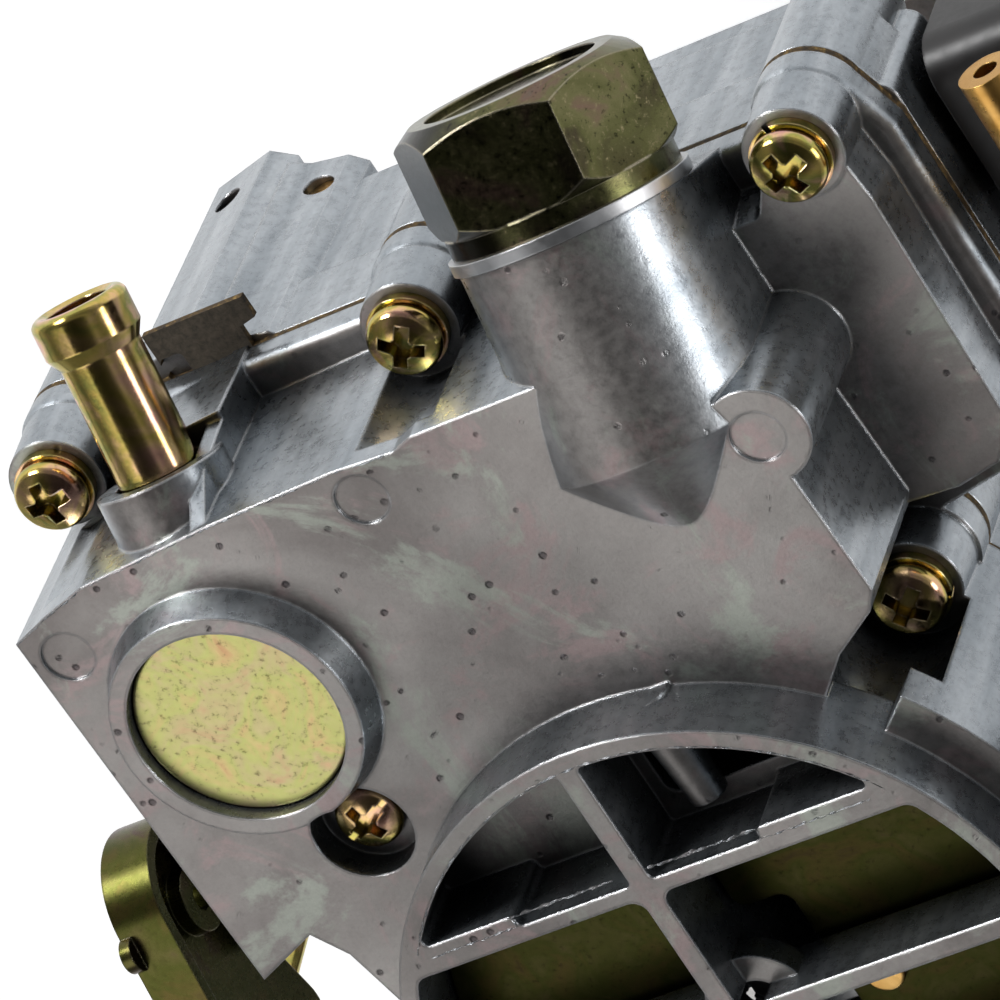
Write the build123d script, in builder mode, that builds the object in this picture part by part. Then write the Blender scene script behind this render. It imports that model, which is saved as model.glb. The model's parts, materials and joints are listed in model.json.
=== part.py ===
"""Two-barrel downdraught carburettor, built piece by piece in millimetres.

+Z is up, along the air flow axis.  The origin is the centre of the base flange's underside.
+Y is the float bowl side with the fuel fittings, and -X is the linkage side.
"""

from build123d import *
from math import asin, cos, degrees, radians, sin
import os

os.makedirs("parts", exist_ok=True)

# ---------------------------------------------------------------- driving dimensions

# stack heights
THROTTLE_BODY_TOP = 26.0
GASKET_T = 0.5
INSULATOR_T = 5.0
BODY_Z = THROTTLE_BODY_TOP + 2 * GASKET_T + INSULATOR_T
COVER_GASKET_T = 0.8
COVER_Z = 81.0
BODY_TOP = COVER_Z - COVER_GASKET_T
STEP_Z = COVER_Z + 8.5
ROOF_Z = COVER_Z + 24.5
HORN_TOP = ROOF_Z + 7.6
ROOF_T = 3.0
DRAFT = 2.5

# air horn and bores
HORN_R = 33.1
HORN_WALL = 1.8
HORN_IN_R = HORN_R - HORN_WALL
BARREL_X = 16.0
PRIMARY_R = 14.0
SECONDARY_R = 15.0

# fasteners
SCREW_R = 2.0
SCREW_HOLE_R = 2.15
HEAD_R = 3.6
HEAD_H = 2.7
WASHER_R = 3.85
WASHER_T = 1.1
RUN_GAP = 0.06

# cover screws: the first four are on the bowl side, the last two behind the air horn
COVER_SCREWS = [(40.2, 69.0), (-2.2, 67.2), (-42.8, 65.8), (26.5, 24.5), (-29.0, -27.5), (29.0, -27.5)]
COLUMN_TOP = COVER_Z + 8.8
COLUMN_R = 4.7
LUG_R = 5.3

# fuel fittings lean down by this much as they leave the bowl
FUEL_DIP = 17.5
STRAINER_SEAT = Vector(19.5, 72.2, ROOF_Z - 12.9)
STRAINER_BOSS_R = 11.3
NIPPLE_SEAT = Vector(-28.6, 66.3, ROOF_Z - 8.8)
NIPPLE_DIP = 15.4

# roof features
PLUG_XY = (-29.8, 45.3)
PLUG_RING_R = 12.0
PLUG_R = 10.33
WELL_XY = (-27.2, 28.8)
WELL_R = 5.0
PILLAR_XY = (30.1, 52.0)

# shafts, all parallel to X, as (y, z)
CHOKE_YZ = (-4.0, ROOF_Z - 2.6)
CHOKE_SHAFT_R = 2.5
THROTTLE_YZ = (0.0, 12.0)
THROTTLE_SHAFT_R = 4.0
PUMP_YZ = (-32.0, 97.0)
PUMP_SHAFT_R = 2.0
CAM_YZ = (2.0, 53.0)
FLOAT_YZ = (41.0, 84.0)

# accelerator pump linkage
PUMP_THROTTLE_ARM = 10.0
PUMP_OUTER_ARM = 19.4
PUMP_INNER_ARM = 12.0
THROTTLE_TRAVEL = 75.0
PUMP_X = -24.0
PUMP_SWING = 2 * degrees(asin(PUMP_THROTTLE_ARM * sin(radians(THROTTLE_TRAVEL / 2)) / PUMP_OUTER_ARM))

# choke linkage: the lever pin and the cam pin move on equal, parallel arms
CHOKE_ARM = (6.0, -16.0)


def point_x(yz, x):
    """The point of a shaft axis at a given x."""
    return (x, yz[0], yz[1])


def plane_x(x, yz=(0.0, 0.0)):
    """A sketch plane facing +X whose local x is +Y and local y is +Z."""
    return Plane(origin=(x, yz[0], yz[1]), x_dir=(0, 1, 0), z_dir=(1, 0, 0))


def fuel_plane(seat, dip, along=0.0):
    """A plane across a fuel fitting's axis, facing outwards."""
    outwards = Vector(0, cos(radians(dip)), -sin(radians(dip)))
    return Plane(origin=seat + outwards * along, x_dir=(1, 0, 0), z_dir=outwards)


def finish(piece, label):
    piece.part.label = label
    export_step(piece.part, f"parts/{label}.step")


# ---------------------------------------------------------------- outlines

def roof_outline():
    """The raised roof over the float bowl, running in under the air horn."""
    with BuildSketch() as sketch:
        with BuildLine():
            Polyline(
                (-46.5, 59.5), (-42.1, 61.1), (-37.2, 62.5), (-22.7, 63.6), (-8.5, 64.1), (-1.8, 63.7),
                (0.6, 64.5), (14.0, 64.5), (19.5, 52.0), (28.0, 50.0), (30.8, 47.0), (31.3, 33.8), (29.9, 31.8),
                (24.9, 28.8), (20.0, 24.0), (0.0, 10.0), (-30.0, 6.0), (-34.4, 10.9), (-36.0, 17.2),
                (-38.4, 20.6), (-45.4, 17.8), close=True,
            )
        make_face()
    return sketch.sketch


def joint_outline(lug_r, margin):
    """The flange where the cover meets the body, with a lug round each screw."""
    with BuildSketch() as sketch:
        with BuildLine():
            Polyline(
                (-47.0, 62.0), (-42.0, 65.5), (-33.0, 67.3), (-8.0, 67.3), (-2.0, 69.2), (33.0, 69.2),
                (41.0, 74.0), (45.2, 70.6), (47.2, 65.0), (47.2, 40.0), (41.0, 30.0), (30.0, 28.0),
                (20.0, 20.0), (-30.0, 10.0), (-37.0, 17.0), (-47.0, 17.0), close=True,
            )
        make_face()
        with BuildLine():
            CenterArc((0, 0), 37.0, 0, 360)
        make_face()
        with Locations(*COVER_SCREWS):
            Circle(lug_r)
        with BuildLine():
            Polyline((-37.5, -24), (-37.5, -40), (-34, -44), (-13.5, -44), (-10, -34), close=True)
        make_face()
        with Locations((PUMP_X, PUMP_YZ[0] - PUMP_INNER_ARM)):
            Circle(11.0)
        offset(amount=margin, kind=Kind.ARC)
    return sketch.sketch


# ---------------------------------------------------------------- fasteners

def pan_screw(head_r, head_h, shank_r, shank_l):
    """A pan-head screw with a cross recess, standing on Z = 0 with its shank below."""
    with BuildPart() as screw:
        with BuildSketch(Plane.XZ):
            with BuildLine():
                Line((0, 0), (head_r * 0.9, 0))
                ThreePointArc((head_r * 0.9, 0), (head_r, head_h * 0.3), (head_r * 0.88, head_h * 0.68))
                TangentArc((0, head_h), (head_r * 0.88, head_h * 0.68), tangent=(1, 0))
                Line((0, head_h), (0, 0))
            make_face()
        revolve(axis=Axis.Z)
        Cylinder(shank_r, shank_l, align=(Align.CENTER, Align.CENTER, Align.MAX))
        with BuildSketch(Plane.XY.offset(head_h)) as recess:
            Rectangle(head_r * 1.22, head_r * 0.36)
            Rectangle(head_r * 0.36, head_r * 1.22)
            Rectangle(head_r * 0.62, head_r * 0.62, rotation=45)
        extrude(amount=-head_h * 0.72, mode=Mode.SUBTRACT)
    return screw.part


def spring_washer(inner_r, outer_r, thick):
    """A split lock washer standing on Z = 0."""
    with BuildPart() as washer:
        Cylinder(outer_r, thick, align=(Align.CENTER, Align.CENTER, Align.MIN))
        Cylinder(inner_r, thick, align=(Align.CENTER, Align.CENTER, Align.MIN), mode=Mode.SUBTRACT)
        with Locations(Location((outer_r, 0, thick / 2), (28, 0, 0))):
            Box(2 * outer_r, 0.5, 4 * thick, mode=Mode.SUBTRACT)
    return washer.part


def coil(mean_r, wire_r, length, turns, plane):
    """A plain compression spring standing on a plane."""
    with BuildPart() as spring:
        with BuildLine() as path:
            Helix(pitch=length / turns, height=length, radius=mean_r)
        with BuildSketch(Plane(origin=path.line @ 0, z_dir=path.line % 0)):
            Circle(wire_r)
        sweep(is_frenet=True)
    return plane.location * spring.part


# ---------------------------------------------------------------- air horn cover

FLANGE_H = 3.2
LIP_ROUND = 1.2
CHORD_OUT = 18.0
CHORD_STEP = 1.3
CHORD_IN = 16.4
REAR_CHORD_IN = -13.5
REAR_CHORD_OUT = -15.8
RIB_X = (-2.1, 0.0)
HUB_R = 5.2
CHAMBER_FLOOR = HORN_TOP - 9.0
PLATE_Z = CHOKE_YZ[1]
COLLAR_OUT_R = 37.4
SPOTFACE_H = 13.2
CHOKE_BOSS_X = -42.0
CHOKE_CASE_X = 47.0
CHOKE_CASE_R = 21.0
CASE_SCREW_RING = 17.8
CASE_SCREW_R = 1.5
STUD_R = 2.5
STUD_L = 7.1
THREAD_RELIEF = 0.15
CONE_Z = -21.0
RING_H = 3.5
EJECTOR_R = 2.6
EJECTOR_DEPTH = 0.25
EJECTOR_XYS = [(-7.2, 60.4), (-42.6, 56.4), PILLAR_XY]
PILLAR_R = 5.2
STEP_DRAFT = 8.0
VENT_DEPTH = 16.0
STEM_GUIDE_H = 10.0
WELL_DEPTH = 3.4
WELL_SCREW_R = 1.75
STRAINER_THREAD_R = 9.0
STRAINER_THREAD_L = 9.0
STRAINER_BORE_R = 6.5
SEAL_R = 11.75
NIPPLE_R = 4.0
NIPPLE_PRESS_R = 4.4
NEEDLE_Y = 47.0
SEAT_OUT_R = 4.5
SEAT_TOP = 97.0
FLOAT_POSTS = (12.0, 27.0)
FLOAT_PIN_R = 1.0
PLUNGER_STEM_R = 2.0

strainer_seat = fuel_plane(STRAINER_SEAT, FUEL_DIP)
nipple_seat = fuel_plane(NIPPLE_SEAT, NIPPLE_DIP)

with BuildPart() as air_horn_cover:
    # flange at the joint
    with BuildSketch(Plane.XY.offset(COVER_Z)):
        add(joint_outline(LUG_R, 0.0))
    extrude(amount=FLANGE_H)
    lip = air_horn_cover.faces().sort_by(Axis.Z)[-1].edges()
    fillet([edge for edge in lip if edge.center().X > 40 or edge.center().Y > 60], LIP_ROUND)

    # float bowl roof, with its lower step on the +X side
    with BuildSketch(Plane.XY.offset(COVER_Z)):
        add(roof_outline())
    extrude(amount=ROOF_Z - COVER_Z)
    with BuildSketch(Plane.XY.offset(COVER_Z)):
        with BuildLine():
            Polyline(
                (27.0, 33.0), (29.4, 31.4), (36.0, 31.0), (41.2, 32.0), (44.8, 36.0), (45.4, 62.0), (44.6, 69.4),
                (35.6, 69.4), (33.0, 65.4), (27.0, 65.4), close=True,
            )
        make_face()
    extrude(amount=STEP_Z - COVER_Z, taper=STEP_DRAFT)

    # screw columns
    with BuildSketch(Plane.XY.offset(COVER_Z)):
        with Locations(*COVER_SCREWS):
            Circle(COLUMN_R + 0.4)
    extrude(amount=COLUMN_TOP - COVER_Z, taper=DRAFT)

    # pillar beside the strainer boss
    with BuildSketch(Plane.XY.offset(COVER_Z)):
        with Locations(PILLAR_XY):
            Circle(PILLAR_R)
    extrude(amount=ROOF_Z - COVER_Z, taper=0.6)

    # air horn neck
    with BuildSketch(Plane.XY.offset(COVER_Z)):
        Circle(HORN_R)
    extrude(amount=HORN_TOP - COVER_Z)

    # strainer boss, ending in a cone inside the roof
    with BuildSketch(strainer_seat):
        Circle(STRAINER_BOSS_R)
    extrude(amount=CONE_Z)
    with BuildSketch(fuel_plane(STRAINER_SEAT, FUEL_DIP, CONE_Z)):
        Circle(STRAINER_BOSS_R)
    extrude(amount=-9.5, taper=42)

    # the strainer boss stands on a wall tangent to its side
    with BuildSketch(Plane.YZ.offset(STRAINER_SEAT.X)):
        with BuildLine():
            Polyline(
                (50.0, COVER_Z), (68.6, COVER_Z), (69.6, COVER_Z + FLANGE_H), (STRAINER_SEAT.Y, STRAINER_SEAT.Z),
                (50.0, STRAINER_SEAT.Z + 7.0), close=True,
            )
        make_face()
    extrude(amount=STRAINER_BOSS_R)

    # nipple boss with its flat pad and fin
    with BuildSketch(nipple_seat):
        Circle(6.4)
    extrude(amount=-12.0)
    with BuildSketch(Plane.XY.offset(COVER_Z)):
        with BuildLine():
            Polyline((-35.0, 58.0), (-35.0, 66.6), (-22.7, 67.6), (-22.7, 58.0), close=True)
        make_face()
    extrude(amount=11.0)
    with BuildSketch(Plane.YZ.offset(-24.4)):
        with BuildLine():
            Polyline(
                (58.0, COVER_Z), (67.6, COVER_Z), (66.2, NIPPLE_SEAT.Z + 3), (63.2, ROOF_Z), (58.0, ROOF_Z),
                close=True,
            )
        make_face()
    extrude(amount=1.7)

    # core plug ring
    with BuildSketch(Plane.XY.offset(ROOF_Z)):
        with Locations(PLUG_XY):
            Circle(PLUG_RING_R + 1.0)
    extrude(amount=RING_H, taper=15)

    # choke shaft boss on the linkage side and choke case web on the other
    with BuildSketch(plane_x(CHOKE_BOSS_X, CHOKE_YZ)):
        Circle(5.6)
    extrude(amount=14.0)
    with BuildSketch(Plane.XY.offset(COVER_Z)):
        with BuildLine():
            CenterArc((0, 0), COLLAR_OUT_R, -36.0, 75.5)
            Line((0, 0), COLLAR_OUT_R * Vector(cos(radians(-36)), sin(radians(-36)), 0))
            Line((0, 0), COLLAR_OUT_R * Vector(cos(radians(39.5)), sin(radians(39.5)), 0))
        make_face()
        with Locations((37.5, CHOKE_YZ[0])):
            Rectangle(2 * (CHOKE_CASE_X - 37.5), 20.0)
    extrude(amount=ROOF_Z + 2.0 - COVER_Z)
    with BuildSketch(plane_x(CHOKE_CASE_X - 5.0, CHOKE_YZ)):
        Circle(CHOKE_CASE_R)
    extrude(amount=5.0)

    # pump lever post and pump stem guide
    with BuildSketch(Plane.XY.offset(COVER_Z)):
        with Locations((-34.0, PUMP_YZ[0])):
            RectangleRounded(7.0, 9.0, 2.0)
    extrude(amount=PUMP_YZ[1] + 4.5 - COVER_Z)

    # air passages: one slot each side of the rib, between the chord ribs
    with BuildSketch(Plane.XY.offset(COVER_Z)) as passage:
        Circle(HORN_IN_R)
        with Locations((0, (CHORD_IN + REAR_CHORD_IN) / 2)):
            Rectangle(4 * HORN_R, CHORD_IN - REAR_CHORD_IN, mode=Mode.INTERSECT)
        with Locations(((RIB_X[0] + RIB_X[1]) / 2, 0)):
            Rectangle(RIB_X[1] - RIB_X[0], 2 * HORN_R, mode=Mode.SUBTRACT)
        fillet(passage.vertices(), 1.5)
    extrude(amount=HORN_TOP - COVER_Z, mode=Mode.SUBTRACT)

    # chambers between the chord ribs and the neck wall
    with BuildSketch(Plane.XY.offset(CHAMBER_FLOOR)) as chambers:
        Circle(HORN_IN_R)
        with Locations((0, (CHORD_OUT + REAR_CHORD_OUT) / 2)):
            Rectangle(4 * HORN_R, CHORD_OUT - REAR_CHORD_OUT, mode=Mode.SUBTRACT)
        with Locations(((RIB_X[0] + RIB_X[1]) / 2, HORN_R)):
            Rectangle(RIB_X[1] - RIB_X[0], 2 * HORN_R, mode=Mode.SUBTRACT)
        with Locations((-24.4, CHORD_OUT), (22.0, CHORD_OUT)):
            Rectangle(20.0, 2 * CHORD_STEP, mode=Mode.SUBTRACT)
        fillet(chambers.vertices(), 0.6)
    extrude(amount=HORN_TOP - CHAMBER_FLOOR, mode=Mode.SUBTRACT)

    # the +X chamber drops deeper, as the bowl vent
    with BuildSketch(Plane.XY.offset(ROOF_Z - VENT_DEPTH)) as vent:
        with BuildLine():
            Polyline((1.5, 20.6), (22.0, 20.6), (12.0, 28.0), (1.5, 30.0), close=True)
        make_face()
        fillet(vent.vertices(), 1.5)
    extrude(amount=VENT_DEPTH + 4.0, mode=Mode.SUBTRACT)

    # spider under the air cleaner stud: a hub, with a bar across both passages
    with BuildSketch(Plane.XY.offset(PLATE_Z + 3.4)):
        Circle(HUB_R)
    extrude(amount=3.0)
    with BuildSketch(Plane.XY.offset(PLATE_Z + 1.8)):
        with Locations((0, 0.6)):
            Rectangle(2 * HORN_IN_R + 1, 1.9)
    extrude(amount=7.4)
    with Locations((0, 0, HORN_TOP)):
        Hole(STUD_R, depth=STUD_L)
        Hole(STUD_R - THREAD_RELIEF, depth=STUD_L + 0.5)

    # vent tube reaching into the chamber from the neck wall
    with BuildSketch(Plane.XZ.offset(-20.4)):
        with Locations((6.0, ROOF_Z + 0.4)):
            Circle(1.9)
    extrude(amount=-12.0, taper=-4)

    # float bowl roof is hollow below, around solid bosses for the fittings
    with BuildSketch(Plane.XY.offset(COVER_Z)) as hollow:
        with BuildLine():
            Polyline((-41.5, 58.0), (-20.0, 60.2), (27.4, 60.8), (27.4, 37.0), (-41.5, 37.0), close=True)
        make_face()
        with Locations(PLUG_XY):
            Circle(PLUG_R - 1.2)
        fillet(hollow.vertices(), 2.0)
        with Locations((STRAINER_SEAT.X, 54.0)):
            Rectangle(16.0, 20.0, mode=Mode.SUBTRACT)
        with Locations((NIPPLE_SEAT.X, 60.0)):
            Rectangle(12.0, 8.0, mode=Mode.SUBTRACT)
    extrude(amount=ROOF_Z - ROOF_T - COVER_Z, mode=Mode.SUBTRACT)

    with BuildSketch(Plane.XY.offset(COVER_Z)):
        with Locations((STRAINER_SEAT.X, 48.6)):
            Rectangle(20.0, 23.0)
    extrude(amount=7.5, mode=Mode.SUBTRACT)

    # room for the strainer plug's washer where it dips past the flange
    with BuildSketch(strainer_seat):
        Circle(SEAL_R + 0.4)
    extrude(amount=8.0, mode=Mode.SUBTRACT)

    # float hinge posts
    with BuildSketch(Plane.XY.offset(FLOAT_YZ[1] - 2.6)):
        with Locations(*[(x, FLOAT_YZ[0]) for x in FLOAT_POSTS]):
            Rectangle(3.0, 6.0)
    extrude(amount=ROOF_Z - ROOF_T - FLOAT_YZ[1] + 3.0)
    with BuildSketch(plane_x(FLOAT_POSTS[0] - 4.0, FLOAT_YZ)):
        Circle(FLOAT_PIN_R)
    extrude(amount=FLOAT_POSTS[1] - FLOAT_POSTS[0] + 8.0, mode=Mode.SUBTRACT)

    # core plug seat and screw well
    with BuildSketch(Plane.XY.offset(ROOF_Z + RING_H)):
        with Locations(PLUG_XY):
            Circle(PLUG_R)
    extrude(amount=-(RING_H + ROOF_T + 1.0), mode=Mode.SUBTRACT)
    with BuildSketch(Plane.XY.offset(ROOF_Z + 4.0)):
        with Locations(WELL_XY):
            Circle(WELL_R)
    extrude(amount=-(4.0 + WELL_DEPTH), mode=Mode.SUBTRACT)
    with BuildSketch(Plane.XY.offset(ROOF_Z)):
        with Locations(WELL_XY):
            Circle(WELL_SCREW_R + RUN_GAP)
    extrude(amount=-14.0, mode=Mode.SUBTRACT)

    # strainer bore, then the needle seat bore coming down from its inner end
    with BuildSketch(strainer_seat):
        Circle(STRAINER_THREAD_R + RUN_GAP)
    extrude(amount=-STRAINER_THREAD_L, mode=Mode.SUBTRACT)
    with BuildSketch(strainer_seat):
        Circle(STRAINER_BORE_R)
    extrude(amount=-25.0, mode=Mode.SUBTRACT)
    with BuildSketch(Plane.XY.offset(COVER_Z)):
        with Locations((STRAINER_SEAT.X, NEEDLE_Y)):
            Circle(SEAT_OUT_R + RUN_GAP)
    extrude(amount=SEAT_TOP - COVER_Z, mode=Mode.SUBTRACT)

    # nipple bore opens into the bowl
    with BuildSketch(nipple_seat):
        Circle(NIPPLE_PRESS_R)
    extrude(amount=-9.0, mode=Mode.SUBTRACT)

    # shaft bores
    with BuildSketch(plane_x(CHOKE_BOSS_X - 1.0, CHOKE_YZ)):
        Circle(CHOKE_SHAFT_R + RUN_GAP)
    extrude(amount=CHOKE_CASE_X - CHOKE_BOSS_X + 2.0, mode=Mode.SUBTRACT)
    with BuildSketch(plane_x(-38.0, PUMP_YZ)):
        Circle(PUMP_SHAFT_R + RUN_GAP)
    extrude(amount=8.0, mode=Mode.SUBTRACT)
    with BuildSketch(Plane.XY.offset(COVER_Z)):
        with Locations((PUMP_X, PUMP_YZ[0] - PUMP_INNER_ARM)):
            Circle(PLUNGER_STEM_R + RUN_GAP)
    extrude(amount=STEM_GUIDE_H, mode=Mode.SUBTRACT)

    # screw holes
    with BuildSketch(Plane.XY.offset(COVER_Z)):
        with Locations(*COVER_SCREWS):
            Circle(SCREW_HOLE_R)
    extrude(amount=COLUMN_TOP - COVER_Z, mode=Mode.SUBTRACT)
    with BuildSketch(Plane.XY.offset(COLUMN_TOP)):
        with Locations(*COVER_SCREWS):
            Circle(LUG_R)
    extrude(amount=SPOTFACE_H, mode=Mode.SUBTRACT)
    with BuildSketch(plane_x(CHOKE_CASE_X - 5.0, CHOKE_YZ)):
        with PolarLocations(CASE_SCREW_RING, 3, 90):
            Circle(CASE_SCREW_R)
    extrude(amount=6.0, mode=Mode.SUBTRACT)

    # ejector pin marks
    with BuildSketch(Plane.XY.offset(ROOF_Z)):
        with Locations(*EJECTOR_XYS):
            Circle(EJECTOR_R)
    extrude(amount=-EJECTOR_DEPTH, mode=Mode.SUBTRACT)
finish(air_horn_cover, "air_horn_cover")


# ---------------------------------------------------------------- cover gasket

TAB = (-31.7, -20.4)

with BuildPart() as cover_gasket:
    with BuildSketch(Plane.XY.offset(BODY_TOP)):
        add(joint_outline(LUG_R, 0.0))
        with BuildLine():
            Polyline(
                (TAB[0], 64.0), (TAB[0], 72.4), (TAB[1], 72.4), (TAB[1], 70.0), (TAB[1] - 1.9, 69.6),
                (TAB[1] - 2.0, 64.0), close=True,
            )
        make_face()
        with Locations((-30.4, 68.3)):
            RectangleRounded(2.6, 2.4, 0.6, mode=Mode.SUBTRACT)
        with Locations(*COVER_SCREWS):
            Circle(SCREW_HOLE_R, mode=Mode.SUBTRACT)
        with Locations((0, (CHORD_IN + REAR_CHORD_IN) / 2)):
            RectangleRounded(2 * HORN_IN_R - 3, CHORD_IN - REAR_CHORD_IN, 6.0, mode=Mode.SUBTRACT)
        with Locations((-6.0, 48.5)):
            RectangleRounded(66.0, 23.0, 4.0, mode=Mode.SUBTRACT)
        with Locations((PUMP_X, PUMP_YZ[0] - PUMP_INNER_ARM)):
            Circle(6.6, mode=Mode.SUBTRACT)
    extrude(amount=COVER_GASKET_T)
finish(cover_gasket, "cover_gasket")


# ---------------------------------------------------------------- main body

BOWL_FLOOR = 57.0
BOWL_BOTTOM = 53.0
BODY_FLANGE_H = 9.0
THROAT_R = (11.0, 12.0)
BORE_TOP_R = 15.0
BODY_SIZE = (76.0, 56.0)
PUMP_WELL_R = 6.5
PUMP_WELL_FLOOR = 50.0
JET_XS = (-10.0, 12.0)
JET_R = 2.5
BODY_SCREWS = (64.0, 42.0)
BODY_SCREW_R = 2.5
VALVE_X = 49.0
PASSAGE_PLUG_XZ = (-22.5, 54.2)
VALVE_YZ = (54.0, 62.0)


def barrel_profile(throat_r, base_r):
    """The radius of one bore against height, as a face to revolve about its own axis."""
    with BuildSketch(Plane.XZ) as sketch:
        with BuildLine():
            Polyline((0, BODY_Z - 1), (base_r, BODY_Z - 1), (base_r, BODY_Z + 4))
            Spline(
                (base_r, BODY_Z + 4), (throat_r, BODY_Z + 22), (BORE_TOP_R, BODY_TOP - 10),
                tangents=[(0, 1), (0, 1)],
            )
            Polyline((BORE_TOP_R, BODY_TOP - 10), (BORE_TOP_R, BODY_TOP + 1), (0, BODY_TOP + 1), (0, BODY_Z - 1))
        make_face()
    return sketch.sketch


with BuildPart() as main_body:
    # flange under the cover
    with BuildSketch(Plane.XY.offset(BODY_TOP - BODY_FLANGE_H)):
        add(joint_outline(LUG_R, 0.0))
    extrude(amount=BODY_FLANGE_H)

    # float bowl
    with BuildSketch(Plane.XY.offset(BOWL_BOTTOM)):
        with Locations((2.0, 50.0)):
            RectangleRounded(72.0, 33.0, 3.0)
    extrude(amount=BODY_TOP - BOWL_BOTTOM)
    with BuildSketch(Plane.XY.offset(BOWL_BOTTOM - 3)):
        with Locations((0, 30)):
            Rectangle(60.0, 40.0)
    extrude(amount=20.0)

    # left tower and its bright machined steps, small boss and right-hand ribs on the bowl wall
    with BuildSketch(Plane.XY.offset(BOWL_BOTTOM - 6.0)):
        with BuildLine():
            Polyline(
                (-38.0, 50.0), (-38.0, 66.5), (-36.0, 68.6), (-29.0, 70.2), (-26.6, 68.6), (-26.6, 50.0),
                close=True,
            )
        make_face()
    extrude(amount=BODY_TOP - BOWL_BOTTOM + 6.0)
    with BuildSketch(Plane.XY.offset(BOWL_BOTTOM - 3.5)):
        with BuildLine():
            Polyline(
                (-26.6, 50.0), (-26.6, 69.4), (-24.4, 68.4), (-20.6, 67.8), (-19.0, 66.4), (-19.0, 50.0),
                close=True,
            )
        make_face()
    extrude(amount=BODY_TOP - BOWL_BOTTOM + 3.5)
    with BuildSketch(Plane.XY.offset(BOWL_BOTTOM + 3.0)):
        with BuildLine():
            Polyline(
                (9.0, 50.0), (9.0, 66.5), (12.0, 68.0), (16.0, 66.8), (31.0, 66.8), (34.0, 64.0), (34.0, 50.0),
                close=True,
            )
        make_face()
    extrude(amount=BODY_TOP - BOWL_BOTTOM - 3.0)

    # long column under the corner screw, and the side pad next to it
    with BuildSketch(Plane.XY.offset(BODY_TOP)):
        with Locations(COVER_SCREWS[0]):
            Circle(LUG_R)
    extrude(amount=-15.0)
    with BuildSketch(Plane.XY.offset(BODY_TOP - 13.0)):
        with Locations((38.5, 53.0)):
            RectangleRounded(17.4, 30.0, 2.0)
    extrude(amount=13.0)

    # barrels
    with BuildSketch(Plane.XY.offset(BODY_Z)):
        RectangleRounded(*BODY_SIZE, 8.0)
    extrude(amount=7.0)
    with BuildSketch(Plane.XY.offset(BODY_Z)):
        with Locations((-BARREL_X, 0), (BARREL_X, 0)):
            Circle(PRIMARY_R + 5.0)
        Rectangle(2 * BARREL_X, 30.0)
    extrude(amount=BODY_TOP - BODY_Z)
    with BuildSketch(Plane.XY.offset(BOWL_BOTTOM)):
        with Locations((0, 16)):
            RectangleRounded(60.0, 46.0, 4.0)
    extrude(amount=BODY_TOP - BOWL_BOTTOM)

    # pads for the vent valve and for the fast idle cam, and the pump well
    with BuildSketch(plane_x(30.0, VALVE_YZ)):
        Circle(8.0)
    extrude(amount=VALVE_X - 30.0)
    with BuildSketch(Plane.XY.offset(PUMP_WELL_FLOOR - 3.0)):
        with Locations((PUMP_X, PUMP_YZ[0] - PUMP_INNER_ARM)):
            Circle(PUMP_WELL_R + 3.0)
        with Locations((PUMP_X + 2, -28.0)):
            Rectangle(12.0, 28.0)
    extrude(amount=BODY_TOP - PUMP_WELL_FLOOR + 3.0)
    with BuildSketch(plane_x(-38.0, CAM_YZ)):
        Circle(5.5)
    extrude(amount=20.0)

    # hollow it: barrels, bowl, pump well, jets and passages
    with Locations((-BARREL_X, 0, 0)):
        add(revolve(barrel_profile(THROAT_R[0], PRIMARY_R), Axis.Z, mode=Mode.PRIVATE), mode=Mode.SUBTRACT)
    with Locations((BARREL_X, 0, 0)):
        add(revolve(barrel_profile(THROAT_R[1], SECONDARY_R), Axis.Z, mode=Mode.PRIVATE), mode=Mode.SUBTRACT)
    with BuildSketch(Plane.XY.offset(BOWL_FLOOR)):
        with Locations((1.0, 49.8)):
            RectangleRounded(64.0, 25.0, 4.0)
    extrude(amount=BODY_TOP - BOWL_FLOOR, mode=Mode.SUBTRACT)
    with BuildSketch(Plane.XY.offset(PUMP_WELL_FLOOR)):
        with Locations((PUMP_X, PUMP_YZ[0] - PUMP_INNER_ARM)):
            Circle(PUMP_WELL_R)
    extrude(amount=BODY_TOP - PUMP_WELL_FLOOR, mode=Mode.SUBTRACT)
    with BuildSketch(Plane.XY.offset(BODY_TOP)):
        with Locations(*COVER_SCREWS):
            Circle(SCREW_R + RUN_GAP)
    extrude(amount=-9.0, mode=Mode.SUBTRACT)
    with BuildSketch(Plane.XY.offset(BODY_Z)):
        with GridLocations(*BODY_SCREWS, 2, 2):
            Circle(BODY_SCREW_R + RUN_GAP)
    extrude(amount=6.0, mode=Mode.SUBTRACT)
    with BuildSketch(Plane.XY.offset(BOWL_FLOOR)):
        with Locations(*[(x, 41.0) for x in JET_XS]):
            Circle(JET_R + RUN_GAP)
    extrude(amount=-4.5, mode=Mode.SUBTRACT)
    with BuildSketch(plane_x(-39.0, CAM_YZ)):
        Circle(2.5 + RUN_GAP)
    extrude(amount=12.0, mode=Mode.SUBTRACT)
    with BuildSketch(Plane.XZ.offset(-71.0)):
        with Locations((-33.0, BOWL_BOTTOM - 1.0), PASSAGE_PLUG_XZ):
            Circle(1.6)
    extrude(amount=6.0, mode=Mode.SUBTRACT)
finish(main_body, "main_body")


# ---------------------------------------------------------------- insulator, gaskets and throttle body

STUD_SPAN = (60.0, 68.0)
STUD_HOLE_R = 4.25
BASE_FLANGE = (76.0, 86.0)
BASE_FLANGE_H = 9.0
IDLE_LUG_Y = 15.0
IDLE_LUG_Z = (20.0, 26.0)
LEVER_X = -44.5
LEVER_T = 2.5
IDLE_SCREW_X = LEVER_X + LEVER_T / 2
MIX_Z = 18.0
MIX_R = 1.75
TUBE_X = 8.0


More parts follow.
